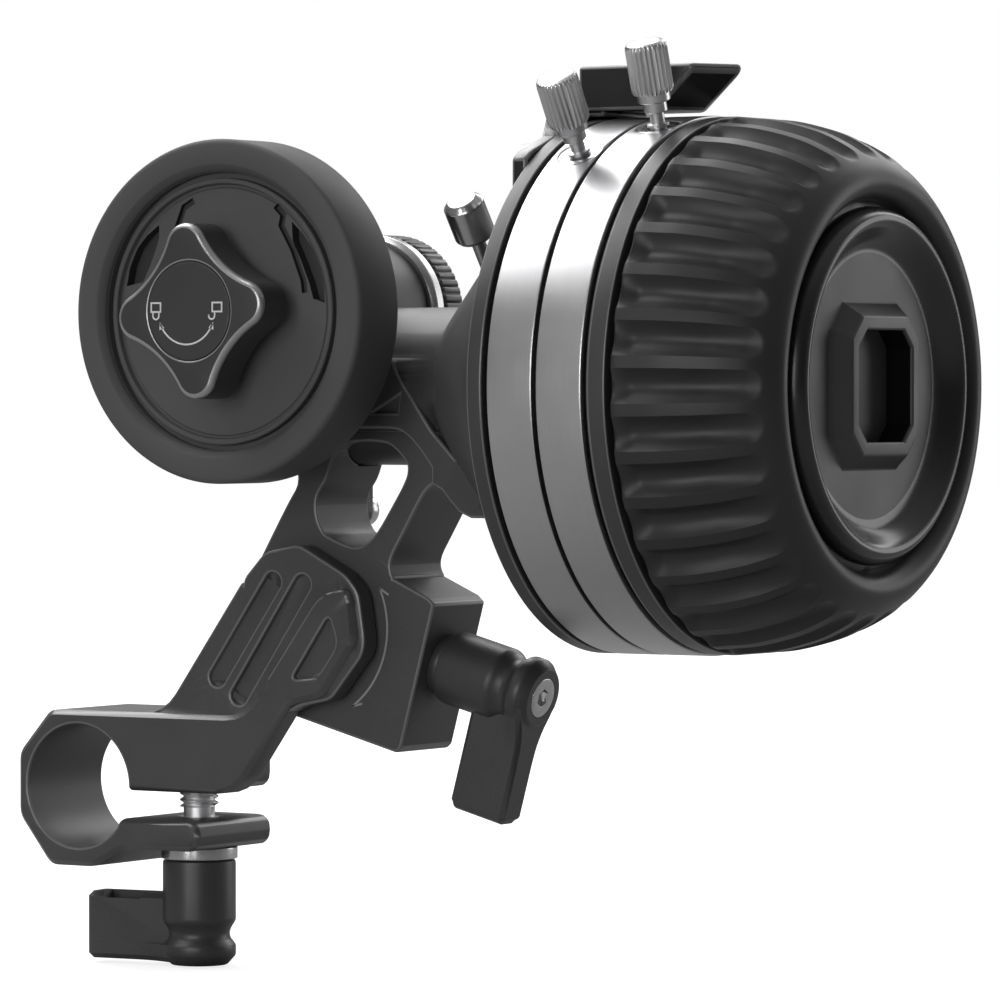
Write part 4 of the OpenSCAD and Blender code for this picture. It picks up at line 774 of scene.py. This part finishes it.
# Levers: radius and height of the barrel, reach and half width of the flange's side,
# and how far back and how much narrower the paddle's tip is
LEVER_H = 12.9
BARREL_FOOT = [(1.3, 0.02), (4.1, 0.02), (4.4, 0.25), (4.45, 0.6), (4.45, 7.1)]
BARREL_WAIST = [(4.45, 7.35), (4.3, 7.75), (3.95, 8.3), (3.72, 8.95), (3.8, 9.6),
                (4.15, 10.1), (4.4, 10.45)]
BARREL_HEAD = [(4.45, 10.65), (4.45, 11.6), (4.35, 11.85), (3.55, 12.75), (3.35, 12.88),
               (2.45, 12.88), (2.42, 11.52), (1.3, 11.52)]
PADDLE_HALF, PADDLE_ROOT, FLANGE_H = 2.1, 2.4, 10.4
PADDLE_EDGE, PADDLE_EDGE_H, TIP_CUT = 0.45, 0.6, 1.7
FLANGE_SIDE = [(1.2, 4.12), (2.4, 3.7), (3.6, 3.1), (4.8, 2.62), (6.4, 2.24),
               (8.4, PADDLE_HALF)]
PADDLE_TIP = [(1.0, 0), (0.35, 0.3), (0, 0.95)]
PADDLE_END_SHARE, WAIST_STEPS, FLANGE_STEPS, BLADE_SMOOTH_DEG = 0.97, 4, 5, 26
SCOOP_LEAN, SCOOP_OVER = 0.9, 1
BOX_FACES = ((0, 1, 3, 2), (4, 6, 7, 5), (0, 4, 5, 1), (2, 3, 7, 6), (0, 2, 6, 4),
             (1, 5, 7, 3))


def blade(name, to_world, side, levels):
    """A solid with a symmetric outline across the lever's axis; levels are height, inset."""
    outline = side + [(u, -v) for u, v in reversed(side)]
    reach = max(u for u, v in side)
    bm = bmesh.new()
    rows = [[bm.verts.new(to_world(min(u, reach - TIP_CUT * inset),
                                   v - math.copysign(min(inset, abs(v)), v), h))
             for u, v in outline] for h, inset in levels]
    for lo, hi in zip(rows, rows[1:]):
        bridge(bm, lo, hi)
    bm.faces.new(list(reversed(rows[0])))
    bm.faces.new(rows[-1])
    split_large_faces(bm)
    return finish_mesh(bm, name, ["anodised"], BLADE_SMOOTH_DEG)


def scoop_block(name, to_world, start, u0, u1, v0, v1, depth):
    """A block with leaning ends that cuts a notch into the paddle's underside."""
    bm = bmesh.new()
    made = [bm.verts.new(to_world(u + way * lean, v, start + h))
            for u, way in ((u0, 1), (u1, -1)) for v in (v0, v1)
            for h, lean in ((-SCOOP_OVER, 0), (depth, SCOOP_LEAN))]
    for f in BOX_FACES:
        bm.faces.new([made[i] for i in f])
    return finish_mesh(bm, name, ["anodised"])


def lever_piece(node, body, to_world, reach, start, scoops):
    """Barrel with a waist and a paddle that runs out of its end flange."""
    end = LEVER_H * PADDLE_END_SHARE
    profile = BARREL_FOOT + smooth_line(BARREL_WAIST, WAIST_STEPS) + BARREL_HEAD
    place(revolve(node + "_piece", profile, BARREL_SIDES, to_world, "anodised_turned"), body,
          node)
    tip = [(reach - back, PADDLE_HALF - narrow) for back, narrow in PADDLE_TIP]
    paddle = blade(node + "_paddle", to_world, [(PADDLE_ROOT, PADDLE_HALF)] + tip,
                   [(start, PADDLE_EDGE), (start + PADDLE_EDGE_H, 0), (FLANGE_H, 0)])
    flange = blade(node + "_flange", to_world, smooth_line(FLANGE_SIDE, FLANGE_STEPS) + tip,
                   [(FLANGE_H, 0), (end - PADDLE_EDGE_H, 0), (end, PADDLE_EDGE)])
    place(flange, body, slot="anodised_black")
    for k, scoop in enumerate(scoops):
        cut(paddle, scoop_block(node + "_scoop_%d" % k, to_world, start, *scoop))
    place(paddle, body, slot="anodised_black")


# Places of the two levers; a notch has its reach, its width and its depth
CLAMP_TURN, CLAMP_FOOT_Z, CLAMP_REACH = -187, -8.85, 14.7
BLOCK_LEAN, BLOCK_REACH, ARM_WASHER_T, SEAT_GAP, ARM_REACH = 15.2, 16.4, 1.1, 0.05, 15.8
CLAMP_SCOOPS = ((5.0, 13.1, -1.3, 1.3, 1.5), (6.2, 12.9, -2.4, -1.2, 0.75))
CLAMP_START_SHARE, ARM_START_SHARE = 0.335, 0.37


def on_clamp(x, y, h):
    a = math.radians(CLAMP_TURN)
    u, v = x * math.cos(a) - y * math.sin(a), x * math.sin(a) + y * math.cos(a)
    return Vector((CLAMP_SCREW_X + u, CLAMP_SCREW_Y - v, CLAMP_FOOT_Z - h)) * MM


def on_block(x, y, h):
    lean = math.radians(BLOCK_LEAN)
    out = h + BLOCK_REACH + ARM_WASHER_T + SEAT_GAP
    return Vector((PIVOT_X + out * math.cos(lean) - x * math.sin(lean), PIVOT_Y + y,
                   PIVOT_Z - out * math.sin(lean) - x * math.cos(lean))) * MM


lever_piece("clamp_lever", "clamp_lever_body", on_clamp, CLAMP_REACH,
            LEVER_H * CLAMP_START_SHARE, CLAMP_SCOOPS)
lever_piece("arm_lever", "arm_lever_body", on_block, ARM_REACH, LEVER_H * ARM_START_SHARE, ())

# Index bracket and collar
# The bracket's edges get the lighter edge coat, a painted highlight
dressed("index_bracket", "gloss", "edge_highlight", BRACKET_EDGE)
dressed("release_collar", "anodised_turned", "edge_highlight", 0)
# The collar ring is drawn in satin metal, which stands in for the highlight on its dark bevel,
# and its edges are lighter still: painted highlight
dressed("collar_ring", "ring", "bright", FINE_EDGE)

# Tyre of the drive gear: radius and Y of its section
TYRE = [(17.3, -12.0), (19.5, -12.0), (19.82, -11.93), (20.07, -11.72), (20.2, -11.35),
        (20.2, -4.15), (20.07, -3.8), (19.82, -3.58), (19.5, -3.5), (16.7, -3.5),
        (16.38, -3.75), (16.38, -4.2), (18.1, -4.25), (18.1, -10.82), (16.4, -10.86),
        (16.42, -11.15), (16.55, -11.35), (17.15, -11.93)]
place(revolve("gear_tyre_piece", TYRE, TYRE_SIDES, about_y, "tyre"), "gear_train",
      "gear_tyre")

# Badge and small steel parts
dressed("knob_badge", "badge", "badge", BADGE_EDGE)
for node in ("lock_pin", "clamp_washer", "arm_stud", "clamp_lever_cap", "arm_lever_cap",
             "pivot_screw", "housing_screw_a", "housing_screw_b", "back_screw_a",
             "back_screw_b", "back_screw_c", "index_screw_a", "index_screw_b", "wheel_bolt"):
    dressed(node, "steel", "steel", FINE_EDGE)
# Nodes that no piece replaces show their own solid
for node, ob in frame["nodes"].items():
    if not ob.hide_render:
        ob.data.materials.clear()
        ob.data.materials.append(MATS[MAT_OF_SLOT[SLOT_OF[node]]])

# Studio, in metres: floor, room, lamps and camera
FLOOR_HALF, FLOOR_DROP = 3, 0.0002
FLOOR_GREY, FLOOR_NOISE, FLOOR_ROUGH = (0.30, 0.32), 40, 0.9
SHADE_FROM, SHADE_TO, SHADE_LEVEL = 0.06, 0.25, 0.82


def floor_material():
    """White to the eye, with the part's shadow close to it."""
    n = Surface("floor_mat")
    dark, light = FLOOR_GREY
    n.tint(n.noise(FLOOR_NOISE), (dark,) * 3, (light,) * 3)
    n.set(Roughness=FLOOR_ROUGH, Specular_IOR_Level=0.0)
    path = n.add("ShaderNodeLightPath")
    reach = n.add("ShaderNodeVectorMath", operation="LENGTH")
    n.link(n.coord.outputs["Object"], reach.inputs[0])
    far = n.ramp(reach.outputs["Value"], SHADE_FROM, SHADE_TO, SHADE_LEVEL, 1.0)
    shown = n.math("MULTIPLY", path.outputs["Is Camera Ray"], far)
    both = n.add("ShaderNodeAddShader")
    n.link(n.bsdf.outputs[0], both.inputs[0])
    n.link(n.glow("ShaderNodeEmission", shown), both.inputs[1])
    n.link(both.outputs[0], n.out.inputs[0])
    return n.mat


def make_floor():
    z, far = cad_box[0][2] - FLOOR_DROP, FLOOR_HALF
    me = bpy.data.meshes.new("floor")
    me.from_pydata([(-far, -far, z), (far, -far, z), (far, far, z), (-far, far, z)], [],
                   [(0, 1, 2, 3)])
    ob = bpy.data.objects.new("floor", me)
    bpy.context.scene.collection.objects.link(ob)
    me.materials.append(floor_material())


make_floor()

# The room is dim in front of the part and a little to its right
DARK_SIDE = (0.70, -0.70, 0.10)
DARK_FROM, DARK_TO, DARK_LEVEL = 0.35, 0.95, 0.25
ROOM_LOW_Z, ROOM_HIGH_Z, ROOM_LOW, ROOM_HIGH, ROOM_GREY = -0.5, 1.0, 0.08, 0.50, 0.8


def make_world():
    """A room that brightens upwards for the lighting, and plain white to the eye."""
    world = bpy.data.worlds.new("studio")
    bpy.context.scene.world = world
    world.use_nodes = True
    n = Nodes(world.node_tree, "ShaderNodeOutputWorld")
    path = n.add("ShaderNodeLightPath")
    seen = n.math("MAXIMUM", path.outputs["Is Camera Ray"], path.outputs["Is Transmission Ray"])
    direction = n.coord.outputs["Generated"]
    split = n.add("ShaderNodeSeparateXYZ")
    n.link(direction, split.inputs[0])
    level = n.ramp(split.outputs["Z"], ROOM_LOW_Z, ROOM_HIGH_Z, ROOM_LOW, ROOM_HIGH)
    toward = n.add("ShaderNodeVectorMath", operation="DOT_PRODUCT")
    toward.inputs[1].default_value = DARK_SIDE
    n.link(direction, toward.inputs[0])
    dim = n.ramp(toward.outputs["Value"], DARK_FROM, DARK_TO, 1.0, DARK_LEVEL, "SMOOTHSTEP")
    mix = n.add("ShaderNodeMixShader")
    n.link(seen, mix.inputs[0])
    room = n.glow("ShaderNodeBackground", n.math("MULTIPLY", level, dim), ROOM_GREY)
    n.link(room, mix.inputs[1])
    n.link(n.glow("ShaderNodeBackground"), mix.inputs[2])
    n.link(mix.outputs[0], n.out.inputs[0])


make_world()


def add_object(name, data, position, toward):
    """A lamp or camera at a position, looking along a direction."""
    ob = bpy.data.objects.new(name, data)
    bpy.context.scene.collection.objects.link(ob)
    ob.location = position
    ob.rotation_mode = "QUATERNION"
    ob.rotation_quaternion = toward.to_track_quat("-Z", "Y")
    return ob


# Lamps stand at shares of the camera's right, of the way to the camera and of up
az, el = math.radians(CAM_AZ), math.radians(CAM_EL)
CENTRE = Vector((0.05, 0.01, 0.045))
RIGHT = Vector((math.cos(az), math.sin(az), 0))
NEAR = Vector((math.sin(az), -math.cos(az), 0))
LAMPS = (("front_strip", (-0.24, 0.97, 0.05), 1.0, (0.14, 0.60), 6.5),
         ("top_front", (-0.58, -0.08, 0.81), 0.9, (0.58, 0.56), 3.9),
         ("top_back", (-0.26, -0.60, 0.75), 0.9, (0.66, 0.50), 5.0),
         ("left_strip", (-0.57, 0.81, 0.06), 1.0, (0.15, 0.60), 9.0),
         ("back_right", (0.45, -0.72, 0.52), 0.9, (0.50, 0.40), 3.0),
         ("rim_right", (0.88, -0.42, 0.10), 0.9, (0.40, 0.60), 2.0))
for name, (right, near, up), distance, size, radiance in LAMPS:
    lamp = bpy.data.lights.new(name, "AREA")
    lamp.shape, lamp.size, lamp.size_y = "RECTANGLE", size[0], size[1]
    lamp.energy = radiance * math.pi * size[0] * size[1]
    way = (RIGHT * right + NEAR * near + Vector((0, 0, up))).normalized()
    add_object(name, lamp, CENTRE + way * distance, -way)

view_from = Vector((math.sin(az) * math.cos(el), -math.cos(az) * math.cos(el), math.sin(el)))
cam_data = bpy.data.cameras.new("camera")
cam_data.lens, cam_data.sensor_width = CAM_LENS, CAM_SENSOR
cam_data.clip_start, cam_data.clip_end = CAM_NEAR, CAM_FAR
cam = add_object("camera", cam_data, CAM_TARGET + view_from * CAM_DIST, -view_from)
bpy.context.scene.camera = cam
bpy.context.scene.view_settings.view_transform = "Standard"
